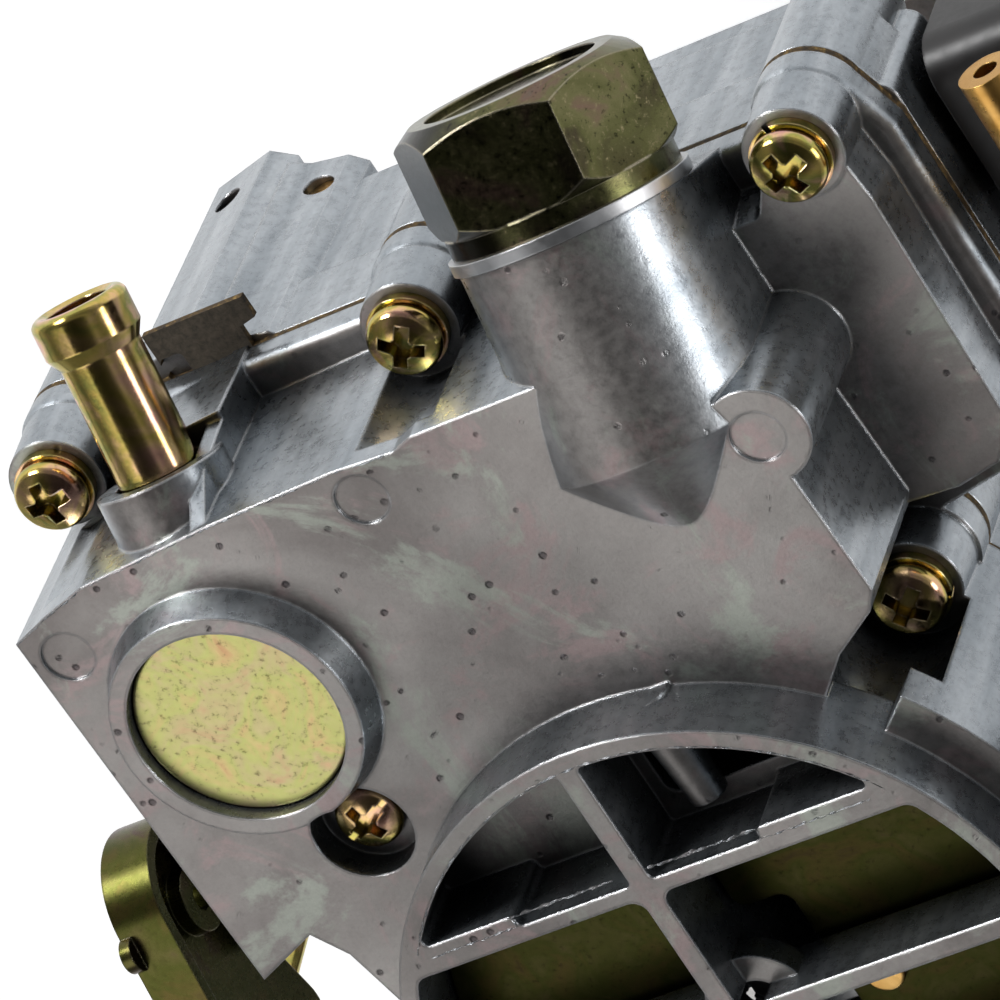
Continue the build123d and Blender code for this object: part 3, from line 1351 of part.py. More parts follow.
with BuildPart() as pump_lever:
    with BuildSketch(pump_plane(PUMP_LEVER_X)):
        Circle(4.5)
        with Locations((PUMP_OUTER_ARM + 0.3, 0)):
            Circle(4.0)
        make_hull()
        with Locations((PUMP_OUTER_ARM, 0)):
            SlotCenterToCenter(2 * SLOT_HALF, 2 * ROD_R + 1.2, mode=Mode.SUBTRACT)
    extrude(amount=PUMP_LEVER_T)
    with BuildSketch(plane_x(PUMP_LEVER_X, PUMP_YZ)):
        Circle(PUMP_SHAFT_R)
    extrude(amount=PUMP_X + FORK_GAP + FORK_T - PUMP_LEVER_X)
    for x in (PUMP_X - FORK_GAP - FORK_T, PUMP_X + FORK_GAP):
        with BuildSketch(pump_plane(x)):
            with Locations((-PUMP_INNER_ARM / 2 - 1.5, 0)):
                Rectangle(PUMP_INNER_ARM + 3.0, 1.6)
            Circle(3.0)
        extrude(amount=FORK_T)
finish(pump_lever, "pump_lever")

link_rod(
    [
        point_x(pump_pin, PUMP_LEVER_X + 2.2),
        point_x(pump_pin, PUMP_ROD_X),
        (PUMP_ROD_X, pump_pin[0] + PUMP_ROD_LEAN, pump_pin[1] + PUMP_ROD_H),
        (PUMP_LEVER_X + 2.2, pump_pin[0] + PUMP_ROD_LEAN, pump_pin[1] + PUMP_ROD_H),
    ],
    ROD_R, "pump_link_rod",
)

with BuildPart() as pump_plunger:
    with Locations((PUMP_X, PLUNGER_Y, 66.0)):
        Cylinder(PLUNGER_STEM_R, GROOVE_Z + 4.0 - 66.0, align=(Align.CENTER, Align.CENTER, Align.MIN))
    for low in (GROOVE_Z - GROOVE_HALF - 1.2, GROOVE_Z + GROOVE_HALF):
        with Locations((PUMP_X, PLUNGER_Y, low)):
            Cylinder(3.8, 1.2, align=(Align.CENTER, Align.CENTER, Align.MIN))
    with Locations((PUMP_X, PLUNGER_Y, 64.0)):
        Cylinder(5.6, 2.0, align=(Align.CENTER, Align.CENTER, Align.MIN))
finish(pump_plunger, "pump_plunger")

with BuildPart() as pump_cup:
    with BuildSketch(Plane.XY.offset(58.8)):
        with Locations((PUMP_X, PLUNGER_Y)):
            Circle(PUMP_WELL_R - RUN_GAP)
    extrude(amount=5.2)
    with BuildSketch(Plane.XY.offset(58.8)):
        with Locations((PUMP_X, PLUNGER_Y)):
            Circle(5.2)
    extrude(amount=3.0, mode=Mode.SUBTRACT)
finish(pump_cup, "pump_cup")

PUMP_SPRING_Z = COVER_Z + FLANGE_H + 0.2
PUMP_SPRING_L = GROOVE_Z - GROOVE_HALF - 1.4 - PUMP_SPRING_Z
pump_coil = coil(3.0, 0.4, PUMP_SPRING_L - 0.8, 6, Plane((PUMP_X, PLUNGER_Y, PUMP_SPRING_Z + 0.4)))
with BuildPart() as pump_return_spring:
    add(pump_coil)
finish(pump_return_spring, "pump_return_spring")


# ---------------------------------------------------------------- adjusting screws and vacuum tube

IDLE_TIP_Z = THROTTLE_YZ[1] + 4.7
IDLE_HEAD_Z = 38.0
MIX_TIP_Y = -16.5
MIX_HEAD_Y = -40.0

with BuildPart() as idle_speed_screw:
    with Locations((IDLE_SCREW_X, IDLE_LUG_Y, IDLE_TIP_Z)):
        Cone(1.0, 2.0, 2.0, align=(Align.CENTER, Align.CENTER, Align.MIN))
    with Locations((IDLE_SCREW_X, IDLE_LUG_Y, IDLE_TIP_Z + 2.0)):
        Cylinder(2.0, IDLE_HEAD_Z - IDLE_TIP_Z - 2.0, align=(Align.CENTER, Align.CENTER, Align.MIN))
    with Locations((IDLE_SCREW_X, IDLE_LUG_Y, IDLE_HEAD_Z)):
        Cylinder(3.6, 3.0, align=(Align.CENTER, Align.CENTER, Align.MIN))
    fillet(idle_speed_screw.faces().sort_by(Axis.Z)[-1].edges(), 0.5)
    with Locations((IDLE_SCREW_X, IDLE_LUG_Y, IDLE_HEAD_Z + 3.0)):
        Box(10.0, 1.0, 2.4, mode=Mode.SUBTRACT)
finish(idle_speed_screw, "idle_speed_screw")


def mixture_screw(x):
    """A needle-ended mixture screw pointing into one bore from the -Y side."""
    with BuildPart() as screw:
        with BuildSketch(Plane(origin=(x, 0, MIX_Z), x_dir=(0, 1, 0), z_dir=(1, 0, 0))):
            with BuildLine():
                Polyline(
                    (MIX_TIP_Y, 0), (MIX_TIP_Y - 4.0, MIX_R * 0.9), (MIX_TIP_Y - 4.6, MIX_R), (MIX_HEAD_Y, MIX_R),
                    (MIX_HEAD_Y, 3.6), (MIX_HEAD_Y - 3.6, 3.6), (MIX_HEAD_Y - 4.0, 3.2), (MIX_HEAD_Y - 4.0, 0),
                    (MIX_TIP_Y, 0),
                )
            make_face()
        revolve(axis=Axis((x, 0, MIX_Z), (0, 1, 0)))
        with Locations((x, MIX_HEAD_Y - 4.0, MIX_Z)):
            Box(10.0, 2.4, 1.0, mode=Mode.SUBTRACT)
    return screw


for side, label in ((-1, "primary_mixture_screw"), (1, "secondary_mixture_screw")):
    finish(mixture_screw(side * BARREL_X), label)

mix_planes = [
    Plane(origin=(side * BARREL_X, -28.7, MIX_Z), x_dir=(1, 0, 0), z_dir=(0, -1, 0)) for side in (-1, 1)
]
idle_plane = Plane((IDLE_SCREW_X, IDLE_LUG_Y, IDLE_LUG_Z[1] + 0.6))
coils = [coil(2.8, 0.45, 10.6, 6, place) for place in mix_planes]
coils.append(coil(2.8, 0.45, IDLE_HEAD_Z - IDLE_LUG_Z[1] - 1.2, 6, idle_plane))
with BuildPart() as adjusting_springs:
    add(coils)
finish(adjusting_springs, "adjusting_springs")

with BuildPart() as vacuum_tube:
    with BuildSketch(Plane(origin=(TUBE_X, 0, MIX_Z), x_dir=(0, 1, 0), z_dir=(-1, 0, 0))):
        with BuildLine():
            Polyline(
                (21.5, 1.4), (21.5, 2.48), (39.5, 2.48), (41.0, 3.1), (44.0, 2.3), (44.0, 1.4), (21.5, 1.4)
            )
        make_face()
    revolve(axis=Axis((TUBE_X, 0, MIX_Z), (0, 1, 0)))
finish(vacuum_tube, "vacuum_tube")
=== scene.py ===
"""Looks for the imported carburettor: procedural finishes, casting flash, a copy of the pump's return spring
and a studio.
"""

import json
import math
import random

import bmesh
import bpy
from mathutils import Matrix, Vector


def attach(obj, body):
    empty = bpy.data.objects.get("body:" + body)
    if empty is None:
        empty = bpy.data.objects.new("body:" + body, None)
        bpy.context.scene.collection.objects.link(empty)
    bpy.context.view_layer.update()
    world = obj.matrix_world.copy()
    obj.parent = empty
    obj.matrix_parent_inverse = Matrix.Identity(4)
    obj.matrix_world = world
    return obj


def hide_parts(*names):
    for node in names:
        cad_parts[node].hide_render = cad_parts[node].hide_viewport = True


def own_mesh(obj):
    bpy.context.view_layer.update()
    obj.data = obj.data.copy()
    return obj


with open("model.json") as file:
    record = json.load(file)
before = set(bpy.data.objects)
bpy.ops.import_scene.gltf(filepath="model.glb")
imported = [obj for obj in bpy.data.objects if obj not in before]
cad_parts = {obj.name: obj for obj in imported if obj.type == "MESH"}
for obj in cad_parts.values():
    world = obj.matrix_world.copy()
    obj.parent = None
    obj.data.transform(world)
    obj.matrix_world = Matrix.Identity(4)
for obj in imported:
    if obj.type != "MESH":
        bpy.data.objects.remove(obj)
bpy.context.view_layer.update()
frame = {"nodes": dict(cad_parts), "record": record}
nodes = frame["nodes"]
MM = 0.001

# ---------------------------------------------------------------- places taken from the frame

rim = next(m for m in frame["record"]["mounts"] if m["name"] == "air_cleaner_rim")
HORN_TOP = rim["pos_m"][2]
NECK_H = 7.6 * MM
ROOF_Z = HORN_TOP - NECK_H


# ---------------------------------------------------------------- node helpers

BEVEL_SAMPLES = 4
HOLLOW_SAMPLES = 4


class Graph:
    """A small builder for one procedural material."""

    def __init__(self, name):
        self.material = bpy.data.materials.new(name)
        self.material.use_nodes = True
        self.tree = self.material.node_tree
        self.shader = self.tree.nodes["Principled BSDF"]
        self.place = self.tree.nodes.new("ShaderNodeTexCoord").outputs["Object"]

    def put(self, socket, value):
        """Links an output to an input, or sets the input's value."""
        if isinstance(value, bpy.types.NodeSocket):
            self.tree.links.new(value, socket)
        elif isinstance(value, tuple) and len(value) == 3 and socket.type == "RGBA":
            socket.default_value = (*value, 1.0)
        else:
            socket.default_value = value

    def node(self, kind, inputs=None, **settings):
        made = self.tree.nodes.new(kind)
        for key, value in settings.items():
            setattr(made, key, value)
        for key, value in (inputs or {}).items():
            self.put(made.inputs[key], value)
        return made

    def stretched(self, scale, turn=(0, 0, 0)):
        """The object's own coordinates, scaled and turned to draw a pattern out along one direction."""
        inputs = {"Vector": self.place, "Scale": scale, "Rotation": turn}
        return self.node("ShaderNodeMapping", inputs).outputs[0]

    def noise(self, scale, detail=4.0, rough=0.55, warp=0.0, vector=None):
        inputs = {"Scale": scale, "Detail": detail, "Roughness": rough, "Distortion": warp}
        inputs["Vector"] = vector or self.place
        return self.node("ShaderNodeTexNoise", inputs).outputs[0]

    def cells(self, scale, vector):
        """The distance to the nearest of many scattered points."""
        inputs = {"Scale": scale, "Vector": vector}
        return self.node("ShaderNodeTexVoronoi", inputs).outputs["Distance"]

    def ramp(self, value, stops):
        """A colour, or a grey given as one number, for each stop."""
        made = self.node("ShaderNodeValToRGB", {"Fac": value})
        while len(made.color_ramp.elements) < len(stops):
            made.color_ramp.elements.new(0.5)
        for element, (at, colour) in zip(made.color_ramp.elements, stops):
            element.position = at
            element.color = (colour,) * 3 + (1,) if isinstance(colour, float) else (*colour, 1)
        return made.outputs[0]

    def math(self, operation, a, b=0.0, clamp=False):
        made = self.node("ShaderNodeMath", operation=operation, use_clamp=clamp)
        self.put(made.inputs[0], a)
        self.put(made.inputs[1], b)
        return made.outputs[0]

    def between(self, value, low, high):
        """0 below low, 1 above high, smooth between."""
        inputs = {"Value": value, "From Min": low, "From Max": high}
        return self.node("ShaderNodeMapRange", inputs, interpolation_type="SMOOTHSTEP").outputs[0]

    def mix(self, share, a, b, blend="MIX"):
        made = self.node("ShaderNodeMix", {"Factor": share}, data_type="RGBA", blend_type=blend)
        self.put(made.inputs[6], a)
        self.put(made.inputs[7], b)
        return made.outputs[2]

    def bump(self, height, strength, depth, normal=None):
        inputs = {"Height": height, "Strength": strength, "Distance": depth}
        if normal:
            inputs["Normal"] = normal
        return self.node("ShaderNodeBump", inputs).outputs[0]

    def soft_edges(self, radius):
        """A normal rounded at sharp edges, and how strongly a point sits on such an edge."""
        rounded = self.node("ShaderNodeBevel", {"Radius": radius}, samples=BEVEL_SAMPLES).outputs[0]
        flat = self.node("ShaderNodeNewGeometry").outputs["Normal"]
        made = self.node("ShaderNodeVectorMath", {0: rounded, 1: flat}, operation="DOT_PRODUCT")
        return rounded, self.between(made.outputs["Value"], 0.995, 0.80)

    def faces(self, axis):
        """How far the surface faces along one axis, from -1 to 1."""
        normal = self.node("ShaderNodeTexCoord").outputs["Normal"]
        return self.node("ShaderNodeSeparateXYZ", {0: normal}).outputs[axis]

    def shaded(self, reach):
        """1 deep inside a hollow, 0 in the open."""
        open_sky = self.node("ShaderNodeAmbientOcclusion", {"Distance": reach}, samples=HOLLOW_SAMPLES)
        return self.between(open_sky.outputs["AO"], 0.55, 0.12)

    def facing(self, blend=0.5):
        return self.node("ShaderNodeLayerWeight", {"Blend": blend}).outputs["Facing"]

    def done(self, **inputs):
        """Feeds the shader and hands back the material."""
        names = {"colour": "Base Color", "metal": "Metallic", "rough": "Roughness", "normal": "Normal"}
        for key, value in inputs.items():
            self.put(self.shader.inputs[names[key]], value)
        return self.material


# ---------------------------------------------------------------- materials

def cast_metal(name, patches, darkness=1.0):
    """As-cast zinc: grey, mottled by its chromate dip on upward faces, smooth and streaked on walls; upward
    faces are painted darker and warmer and walls lighter and bluer, as light falls on them, with a broad
    painted reflection across upward faces, painted shade in hollows and a painted highlight on sharp edges.
    """
    g = Graph(name)
    rounded, edge = g.soft_edges(0.5 * MM)
    top = g.between(g.faces(2), 0.55, 0.92)
    hollow = g.shaded(13 * MM)
    cloud = g.noise(34.0, 5.0, 0.62, 0.6)
    blotch = g.noise(85.0, 6.0, 0.7, 1.4)
    grit = g.noise(900.0, 4.0, 0.7)
    speck = g.noise(2600.0, 3.0, 0.6)
    streak = g.noise(260.0, 4.0, 0.6, 0.3, g.stretched((1.0, 1.0, 0.1)))
    wall = g.ramp(streak, [
        (0.25, (0.25, 0.28, 0.31)), (0.5, (0.40, 0.43, 0.46)), (0.78, (0.58, 0.61, 0.64)),
    ])
    roof = g.ramp(cloud, [
        (0.3, (0.24, 0.215, 0.205)), (0.5, (0.36, 0.335, 0.32)), (0.72, (0.46, 0.44, 0.42)),
    ])
    pink = g.math("MULTIPLY", g.between(blotch, 0.50, 0.64), patches)
    roof = g.mix(pink, roof, (0.45, 0.345, 0.34))
    pale = g.noise(46.0, 7.0, 0.72, 1.6, g.stretched((1, 1, 1), (0.4, 0.9, 2.0)))
    roof = g.mix(g.math("MULTIPLY", g.between(pale, 0.52, 0.62), patches), roof, (0.45, 0.48, 0.42))
    # Painted reflection: a broad random cloud darkens the upward faces unevenly, standing in for the room's
    # uneven reflection.
    broad = g.ramp(g.noise(17.0, 3.0, 0.5, 0.8), [(0.34, 0.62), (0.62, 1.0)])
    roof = g.mix(1.0, roof, broad, "MULTIPLY")
    # Painted light: upward faces take the darker, warmer roof colour and walls the lighter, bluer wall colour,
    # as light falls on them.
    colour = g.mix(top, wall, roof)
    colour = g.mix(0.5, colour, g.ramp(grit, [(0.3, 0.3), (0.5, 0.5), (0.72, 0.66)]), "OVERLAY")
    pits = g.cells(420.0, g.stretched((1, 1, 1), (0.3, 0.2, 0.1)))
    pits = g.math("MULTIPLY", g.between(pits, 0.20, 0.08), g.between(blotch, 0.46, 0.56))
    pits = g.math("MULTIPLY", pits, top)
    colour = g.mix(g.math("MULTIPLY", pits, 0.7), colour, (0.05, 0.045, 0.05))
    # Painted highlight: sharp edges are lightened to near white.
    colour = g.mix(g.math("MULTIPLY", edge, 0.5), colour, (0.85, 0.86, 0.88))
    # Painted shade: hollows are darkened to near black.
    colour = g.mix(hollow, colour, (0.035, 0.036, 0.038))
    colour = g.mix(1.0, colour, (darkness,) * 3, "MULTIPLY")
    rough = g.math("ADD", g.math("MULTIPLY", grit, 0.26), g.math("MULTIPLY", top, 0.14))
    rough = g.math("ADD", rough, 0.16)
    rough = g.math("SUBTRACT", rough, g.math("MULTIPLY", edge, 0.08), clamp=True)
    normal = g.bump(speck, 0.25, 0.05 * MM, rounded)
    normal = g.bump(grit, 0.2, 0.12 * MM, normal)
    normal = g.bump(g.math("SUBTRACT", 1.0, pits), 0.6, 0.12 * MM, normal)
    return g.done(colour=colour, metal=0.9, rough=rough, normal=normal)


BRIGHT_FILM = [
    (0.28, (0.46, 0.20, 0.16)), (0.40, (0.74, 0.42, 0.30)), (0.50, (0.78, 0.52, 0.24)),
    (0.60, (0.60, 0.45, 0.12)), (0.70, (0.40, 0.38, 0.10)), (0.80, (0.76, 0.50, 0.28)),
    (0.92, (0.72, 0.34, 0.34)),
]
# Darker, more olive film colours, used with a rougher finish; the darkness is painted shade for the choke
# plates inside the horn and the lever's shadowed cup.
DULL_SHADED_FILM = [
    (0.28, (0.20, 0.13, 0.08)), (0.42, (0.33, 0.26, 0.08)), (0.56, (0.24, 0.25, 0.06)),
    (0.72, (0.34, 0.30, 0.10)), (0.88, (0.30, 0.18, 0.12)),
]
SATIN_FILM = [
    (0.26, (0.74, 0.38, 0.22)), (0.40, (0.78, 0.60, 0.28)), (0.52, (0.66, 0.66, 0.24)),
    (0.64, (0.70, 0.60, 0.30)), (0.80, (0.76, 0.44, 0.28)),
]
HEXAGON_SHADE = 0.34


def yellow_zinc(name, speckle=0.35, rough=0.12, base=BRIGHT_FILM, shade=1.0):
    """Bright zinc with a yellow chromate film that drifts through gold, pink and green."""
    g = Graph(name)
    rounded, edge = g.soft_edges(0.25 * MM)
    drift = g.noise(150.0, 3.0, 0.55, 1.6)
    speck = g.noise(1500.0, 4.0, 0.7)
    scratch = g.noise(700.0, 3.0, 0.5, 0.2, g.stretched((1.0, 0.06, 0.5), (0.3, 0.5, 0.4)))
    turn = g.math("ADD", g.math("MULTIPLY", drift, 0.95), g.math("MULTIPLY", g.facing(0.4), 0.35))
    colour = g.ramp(turn, base)
    colour = g.mix(g.math("MULTIPLY", g.between(speck, 0.55, 0.72), speckle), colour, (0.10, 0.08, 0.03))
    # Painted highlight: sharp edges are lightened to pale gold.
    colour = g.mix(g.math("MULTIPLY", edge, 0.35), colour, (0.95, 0.86, 0.66))
    # Painted shade: recesses such as the screw slots are darkened to near black.
    colour = g.mix(g.shaded(2.2 * MM), colour, (0.03, 0.018, 0.008))
    # The whole colour is multiplied down by shade; for the choke plates and the lever this is painted shade.
    colour = g.mix(1.0, colour, (shade,) * 3, "MULTIPLY")
    shine = g.math("ADD", g.math("MULTIPLY", speck, 0.2), rough - 0.06, clamp=True)
    normal = g.bump(speck, 0.15, 0.03 * MM, rounded)
    normal = g.bump(scratch, 0.12, 0.04 * MM, normal)
    return g.done(colour=colour, metal=1.0, rough=shine, normal=normal)


def plug_faces(name):
    """The hexagon's flats: plated steel, speckled olive and pink, with long scratches."""
    g = Graph(name)
    rounded, edge = g.soft_edges(0.3 * MM)
    speck = g.noise(1300.0, 5.0, 0.75)
    drift = g.noise(90.0, 4.0, 0.6, 1.2)
    scratch = g.cells(160.0, g.stretched((1.0, 0.05, 0.02), (0.2, 0.6, 0.35)))
    colour = g.ramp(drift, [
        (0.30, (0.16, 0.13, 0.08)), (0.44, (0.30, 0.30, 0.12)), (0.54, (0.42, 0.40, 0.18)),
        (0.66, (0.50, 0.32, 0.24)), (0.8, (0.36, 0.38, 0.30)),
    ])
    colour = g.mix(g.between(speck, 0.56, 0.70), colour, (0.72, 0.62, 0.34))
    colour = g.mix(g.math("MULTIPLY", g.between(speck, 0.44, 0.34), 0.8), colour, (0.02, 0.02, 0.012))
    colour = g.mix(g.math("MULTIPLY", g.between(scratch, 0.05, 0.01), 0.5), colour, (0.85, 0.80, 0.66))
    # Painted shade: flats that face toward -X are darkened to near black, as the light falls on them.
    painted_shade_side = g.between(g.faces(0), 0.0, -0.25)
    colour = g.mix(g.math("MULTIPLY", painted_shade_side, 0.93), colour, (0.012, 0.010, 0.006))
    colour = g.mix(1.0, colour, (HEXAGON_SHADE,) * 3, "MULTIPLY")
    # Painted highlight: sharp edges are lightened to pale gold.
    colour = g.mix(g.math("MULTIPLY", edge, 0.45), colour, (0.90, 0.80, 0.62))
    normal = g.bump(speck, 0.3, 0.05 * MM, rounded)
    shine = g.math("ADD", g.math("MULTIPLY", speck, 0.25), 0.1)
    return g.done(colour=colour, metal=1.0, rough=shine, normal=normal)


def turned_metal(name, dark, light, rough, grain=900.0):
    """Machined metal with fine tool marks and dulled patches."""
    g = Graph(name)
    rounded, edge = g.soft_edges(0.2 * MM)
    marks = g.noise(grain, 3.0, 0.6)
    cloud = g.noise(160.0, 4.0, 0.6, 0.8)
    colour = g.ramp(cloud, [(0.3, dark), (0.7, light)])
    # Painted highlight: sharp edges are lightened beyond the light tone.
    colour = g.mix(g.math("MULTIPLY", edge, 0.4), colour, tuple(min(1.0, c * 1.35) for c in light))
    # Painted shade: recesses are darkened to a tenth of the dark tone.
    colour = g.mix(g.shaded(1.6 * MM), colour, tuple(0.1 * c for c in dark))
    shine = g.math("ADD", g.math("MULTIPLY", marks, 0.25), rough, clamp=True)
    normal = g.bump(marks, 0.15, 0.03 * MM, rounded)
    return g.done(colour=colour, metal=1.0, rough=shine, normal=normal)


def gasket_paper(name):
    """Charcoal fibre sheet whose cut edge shows tan fibres."""
    g = Graph(name)
    fibre = g.noise(1400.0, 5.0, 0.7, 0.4)
    side = g.between(g.math("ABSOLUTE", g.faces(2)), 0.6, 0.3)
    face = g.ramp(fibre, [(0.3, (0.030, 0.024, 0.018)), (0.7, (0.11, 0.09, 0.065))])
    cut = g.ramp(fibre, [
        (0.36, (0.015, 0.010, 0.005)), (0.55, (0.10, 0.06, 0.02)), (0.72, (0.42, 0.27, 0.08)),
    ])
    normal = g.bump(fibre, 0.5, 0.08 * MM)
    return g.done(colour=g.mix(side, face, cut), rough=0.8, normal=normal)


def moulded(name, low, high, rough):
    """Moulded phenolic or rubber with a faint grain."""
    g = Graph(name)
    rounded, edge = g.soft_edges(0.3 * MM)
    grain = g.noise(1100.0, 4.0, 0.6)
    cloud = g.noise(90.0, 3.0, 0.5)
    colour = g.ramp(cloud, [(0.3, low), (0.7, high)])
    # Painted highlight: sharp edges are lightened to three times the light tone.
    colour = g.mix(g.math("MULTIPLY", edge, 0.3), colour, tuple(3 * c for c in high))
    shine = g.math("ADD", g.math("MULTIPLY", grain, 0.2), rough)
    return g.done(colour=colour, rough=shine, normal=g.bump(grain, 0.25, 0.05 * MM, rounded))


materials = {
    "cast_grey": cast_metal("cast_cover", 0.75),
    "cast_body": cast_metal("cast_body_metal", 0.3),
    "yellow_zinc": yellow_zinc("yellow_zinc_film"),
    "bright_steel": turned_metal("bright_steel_bar", (0.36, 0.35, 0.34), (0.62, 0.61, 0.60), 0.16),
    "spring_steel": turned_metal("spring_wire", (0.16, 0.16, 0.17), (0.36, 0.36, 0.38), 0.22),
    "brass_parts": turned_metal("turned_brass", (0.52, 0.27, 0.06), (0.80, 0.50, 0.18), 0.17),
    "gasket_paper": gasket_paper("gasket_fibre"),
    "phenolic": moulded("black_phenolic", (0.010, 0.009, 0.009), (0.022, 0.020, 0.020), 0.28),
    "float_brass": turned_metal("sheet_brass", (0.55, 0.33, 0.10), (0.80, 0.56, 0.24), 0.24),
    "seal_rubber": moulded("nitrile", (0.012, 0.012, 0.012), (0.03, 0.03, 0.03), 0.5),
    "seal_aluminium": turned_metal("soft_aluminium", (0.50, 0.50, 0.51), (0.74, 0.74, 0.75), 0.22),
}
slot_of = {part["node"]: part["material_slot"] for part in frame["record"]["subparts"]}


def dress(node_name, material):
    """Gives a CAD node one finish."""
    mesh = nodes[node_name].data
    mesh.materials.clear()
    mesh.materials.append(material)
    mesh.shade_smooth()
    mesh.set_sharp_from_angle(angle=math.radians(32))


special = {
    "strainer_plug": plug_faces("plated_hexagon"),
    # The choke plates and the lever are darkened copies of the zinc film: painted shade.
    "choke_plates": yellow_zinc("plate_film_painted_shade", 0.5, 0.3, DULL_SHADED_FILM, 0.14),
    "core_plug": yellow_zinc("satin_plug_film", 0.6, 0.38, SATIN_FILM, 0.9),
    "choke_lever": yellow_zinc("lever_film_painted_shade", 0.3, 0.24, DULL_SHADED_FILM, 0.30),
}

for node_name in nodes:
    dress(node_name, special.get(node_name) or materials[slot_of[node_name]])


# ---------------------------------------------------------------- casting flash

FLASH_STEP = 0.45
FLASH_H = 0.22
FLASH_SUNK = 0.05


def arc(radius, start, end, steps=60):
    """Points round the air horn's axis, in millimetres, between two angles in degrees."""
    turns = [math.radians(start + (end - start) * i / steps) for i in range(steps + 1)]
    return [(radius * math.cos(t), radius * math.sin(t)) for t in turns]


def flash(name, points, z, width, seed):
    """A ragged sliver of metal standing along an edge, as left by the casting die."""
    rng = random.Random(seed)
    mesh = bmesh.new()
    rows = []
    for (x0, y0), (x1, y1) in zip(points, points[1:]):
        length = math.hypot(x1 - x0, y1 - y0)
        count = max(1, round(length / FLASH_STEP))
        side = Vector((y0 - y1, x1 - x0, 0)) / length
        for i in range(count):
            share = i / count
            middle = Vector((x0 + (x1 - x0) * share, y0 + (y1 - y0) * share, 0))
            half = width * rng.uniform(0.15, 1.0)
            crest = FLASH_H * rng.uniform(0.1, 1.0) ** 2
            drift = side * rng.uniform(-0.3, 0.3) * width
            middle = middle + drift
            middle.z = z / MM - FLASH_SUNK
            corners = (
                middle - side * half, middle + Vector((0, 0, crest + FLASH_SUNK)), middle + side * half,
            )
            rows.append([mesh.verts.new(corner * MM) for corner in corners])
    for one, two in zip(rows, rows[1:]):
        mesh.faces.new((one[0], two[0], two[1], one[1]))
        mesh.faces.new((one[1], two[1], two[2], one[2]))
        mesh.faces.new((one[2], two[2], two[0], one[0]))
    mesh.faces.new(rows[0])
    mesh.faces.new(rows[-1][::-1])
    bmesh.ops.recalc_face_normals(mesh, faces=mesh.faces)
    data = bpy.data.meshes.new(name)
    mesh.to_mesh(data)
    mesh.free()
    data.materials.append(materials["cast_grey"])
    piece = bpy.data.objects.new(name, data)
    bpy.context.scene.collection.objects.link(piece)
    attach(piece, "carburetor_body")


flash("rib_flash_left", [(-24.0, 18.1), (-14.6, 18.1), (-14.6, 19.2), (-3.0, 19.2)], HORN_TOP, 0.22, 3)
flash("rib_flash_right", [(0.4, 19.2), (12.0, 19.2), (12.0, 18.1), (24.0, 18.1)], HORN_TOP, 0.22, 5)
flash("neck_flash_inner", arc(31.45, 36, 144), HORN_TOP, 0.20, 7)
flash(
    "roof_flash", [(-46.3, 59.4), (-42.1, 60.9), (-37.2, 62.3), (-22.7, 63.4), (-8.5, 63.9), (-2.2, 63.6)],
    ROOF_Z, 0.18, 11,
)


# ---------------------------------------------------------------- pump return spring


def return_spring():
    """Stands for the CAD spring, as a copy of its mesh fixed to the body."""
    source = nodes["pump_return_spring"]
    coil = bpy.data.objects.new("pump_return_coil", source.data.copy())
    bpy.context.scene.collection.objects.link(coil)
    coil.matrix_world = source.matrix_world.copy()
    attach(coil, "carburetor_body")
    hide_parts("pump_return_spring")
    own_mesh(coil)


return_spring()


# ---------------------------------------------------------------- studio

FLOOR_SIZE = 6.0
FLOOR_SEEN_GLOW = 0.55
FLOOR_MIRRORED_GLOW = 0.55
SKY_STRENGTH = 0.7
SKY_STOPS = [
    (0.0, 0.35), (0.12, 0.60), (0.38, 0.22), (0.62, 0.20), (0.76, 0.34), (0.87, 0.07), (1.0, 0.02),
]
LAMP_TARGET = Vector((0, 0.03, 0.09))
LAMPS = [
    ("key", (1.05, -0.12, 0.30), 0.35, 2.6),
    ("front", (-0.45, 0.95, 0.45), 0.30, 7.0),
    ("top", (-0.60, -0.20, 0.95), 0.7, 2.2),
]


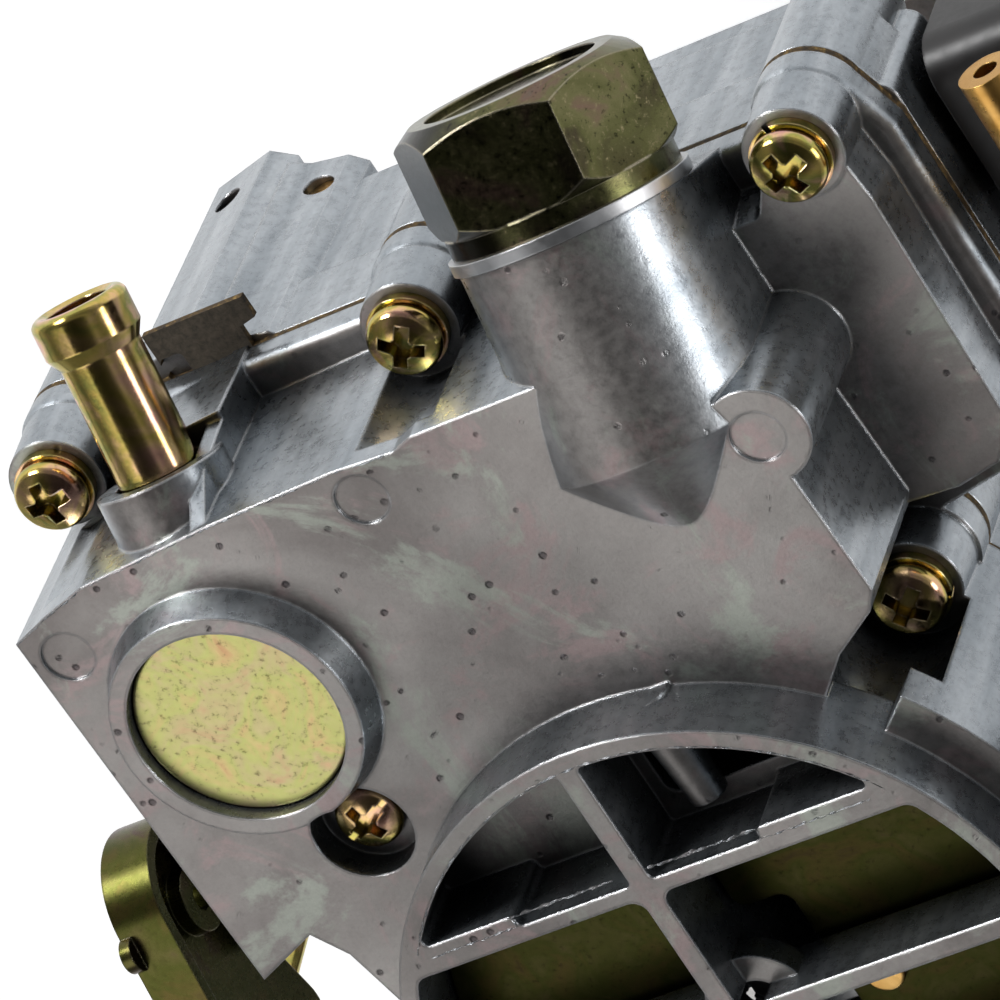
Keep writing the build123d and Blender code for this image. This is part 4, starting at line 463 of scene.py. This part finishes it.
def studio():
    """A pale floor, a dim room for contrast, and soft boxes for the highlights."""
    bpy.ops.mesh.primitive_plane_add(size=FLOOR_SIZE)
    floor = bpy.context.object
    floor.name = "floor"
    g = Graph("floor_paper")
    grain = g.noise(20.0, 3.0)
    seen = g.node("ShaderNodeLightPath").outputs["Is Camera Ray"]
    dim = g.ramp(grain, [(0.3, 0.62), (0.7, 0.68)])
    bright = g.ramp(grain, [(0.3, 0.97), (0.7, 1.0)])
    g.put(g.shader.inputs["Emission Color"], (1.0, 1.0, 1.0))
    mirrored = g.node("ShaderNodeLightPath").outputs["Is Glossy Ray"]
    seen_glow = g.math("MULTIPLY", seen, FLOOR_SEEN_GLOW)
    glow = g.math("ADD", seen_glow, g.math("MULTIPLY", mirrored, FLOOR_MIRRORED_GLOW))
    g.put(g.shader.inputs["Emission Strength"], glow)
    floor.data.materials.append(g.done(colour=g.mix(seen, dim, bright), rough=0.9))

    world = bpy.data.worlds.new("studio")
    bpy.context.scene.world = world
    world.use_nodes = True
    tree = world.node_tree
    where = tree.nodes.new("ShaderNodeTexCoord").outputs["Generated"]
    split = tree.nodes.new("ShaderNodeSeparateXYZ")
    tree.links.new(where, split.inputs[0])
    sky = tree.nodes.new("ShaderNodeValToRGB")
    tree.links.new(split.outputs[2], sky.inputs[0])
    while len(sky.color_ramp.elements) < len(SKY_STOPS):
        sky.color_ramp.elements.new(0.5)
    for element, (at, level) in zip(sky.color_ramp.elements, SKY_STOPS):
        element.position = at
        element.color = (level * 0.95, level * 0.98, level, 1.0)
    tree.links.new(sky.outputs[0], tree.nodes["Background"].inputs["Color"])
    tree.nodes["Background"].inputs["Strength"].default_value = SKY_STRENGTH

    for name, place, size, power in LAMPS:
        lamp = bpy.data.lights.new(name, "AREA")
        lamp.size = size
        lamp.energy = power
        holder = bpy.data.objects.new(name, lamp)
        bpy.context.scene.collection.objects.link(holder)
        holder.location = place
        holder.rotation_euler = (LAMP_TARGET - Vector(place)).to_track_quat("-Z", "Y").to_euler()
    bpy.context.scene.view_settings.view_transform = "Standard"


# camera: looks at a point of the roof plane, from beyond the bowl side, rolled nearly upside down
VIEW_AZIMUTH = 39.87
VIEW_ELEVATION = 52.70
VIEW_ROLL = -157.6
VIEW_DISTANCE = 0.847
VIEW_LENS = 341.5
VIEW_POINT = Vector((4.7 * MM, 55.4 * MM, ROOF_Z))


def camera():
    """A long lens, turned by the three angles above."""
    az, el, roll = (math.radians(a) for a in (VIEW_AZIMUTH, VIEW_ELEVATION, VIEW_ROLL))
    back = Vector((math.cos(el) * math.cos(az), math.cos(el) * math.sin(az), math.sin(el)))
    level = Vector((-math.sin(az), math.cos(az), 0))
    upright = back.cross(level)
    right = level * math.cos(roll) + upright * math.sin(roll)
    lens = bpy.data.cameras.new("camera")
    lens.lens = VIEW_LENS
    lens.clip_start = 0.05
    lens.clip_end = 20.0
    holder = bpy.data.objects.new("camera", lens)
    bpy.context.scene.collection.objects.link(holder)
    turn = Matrix((right, back.cross(right), back)).transposed().to_4x4()
    holder.matrix_world = Matrix.Translation(VIEW_POINT + back * VIEW_DISTANCE) @ turn
    bpy.context.scene.camera = holder


studio()
camera()
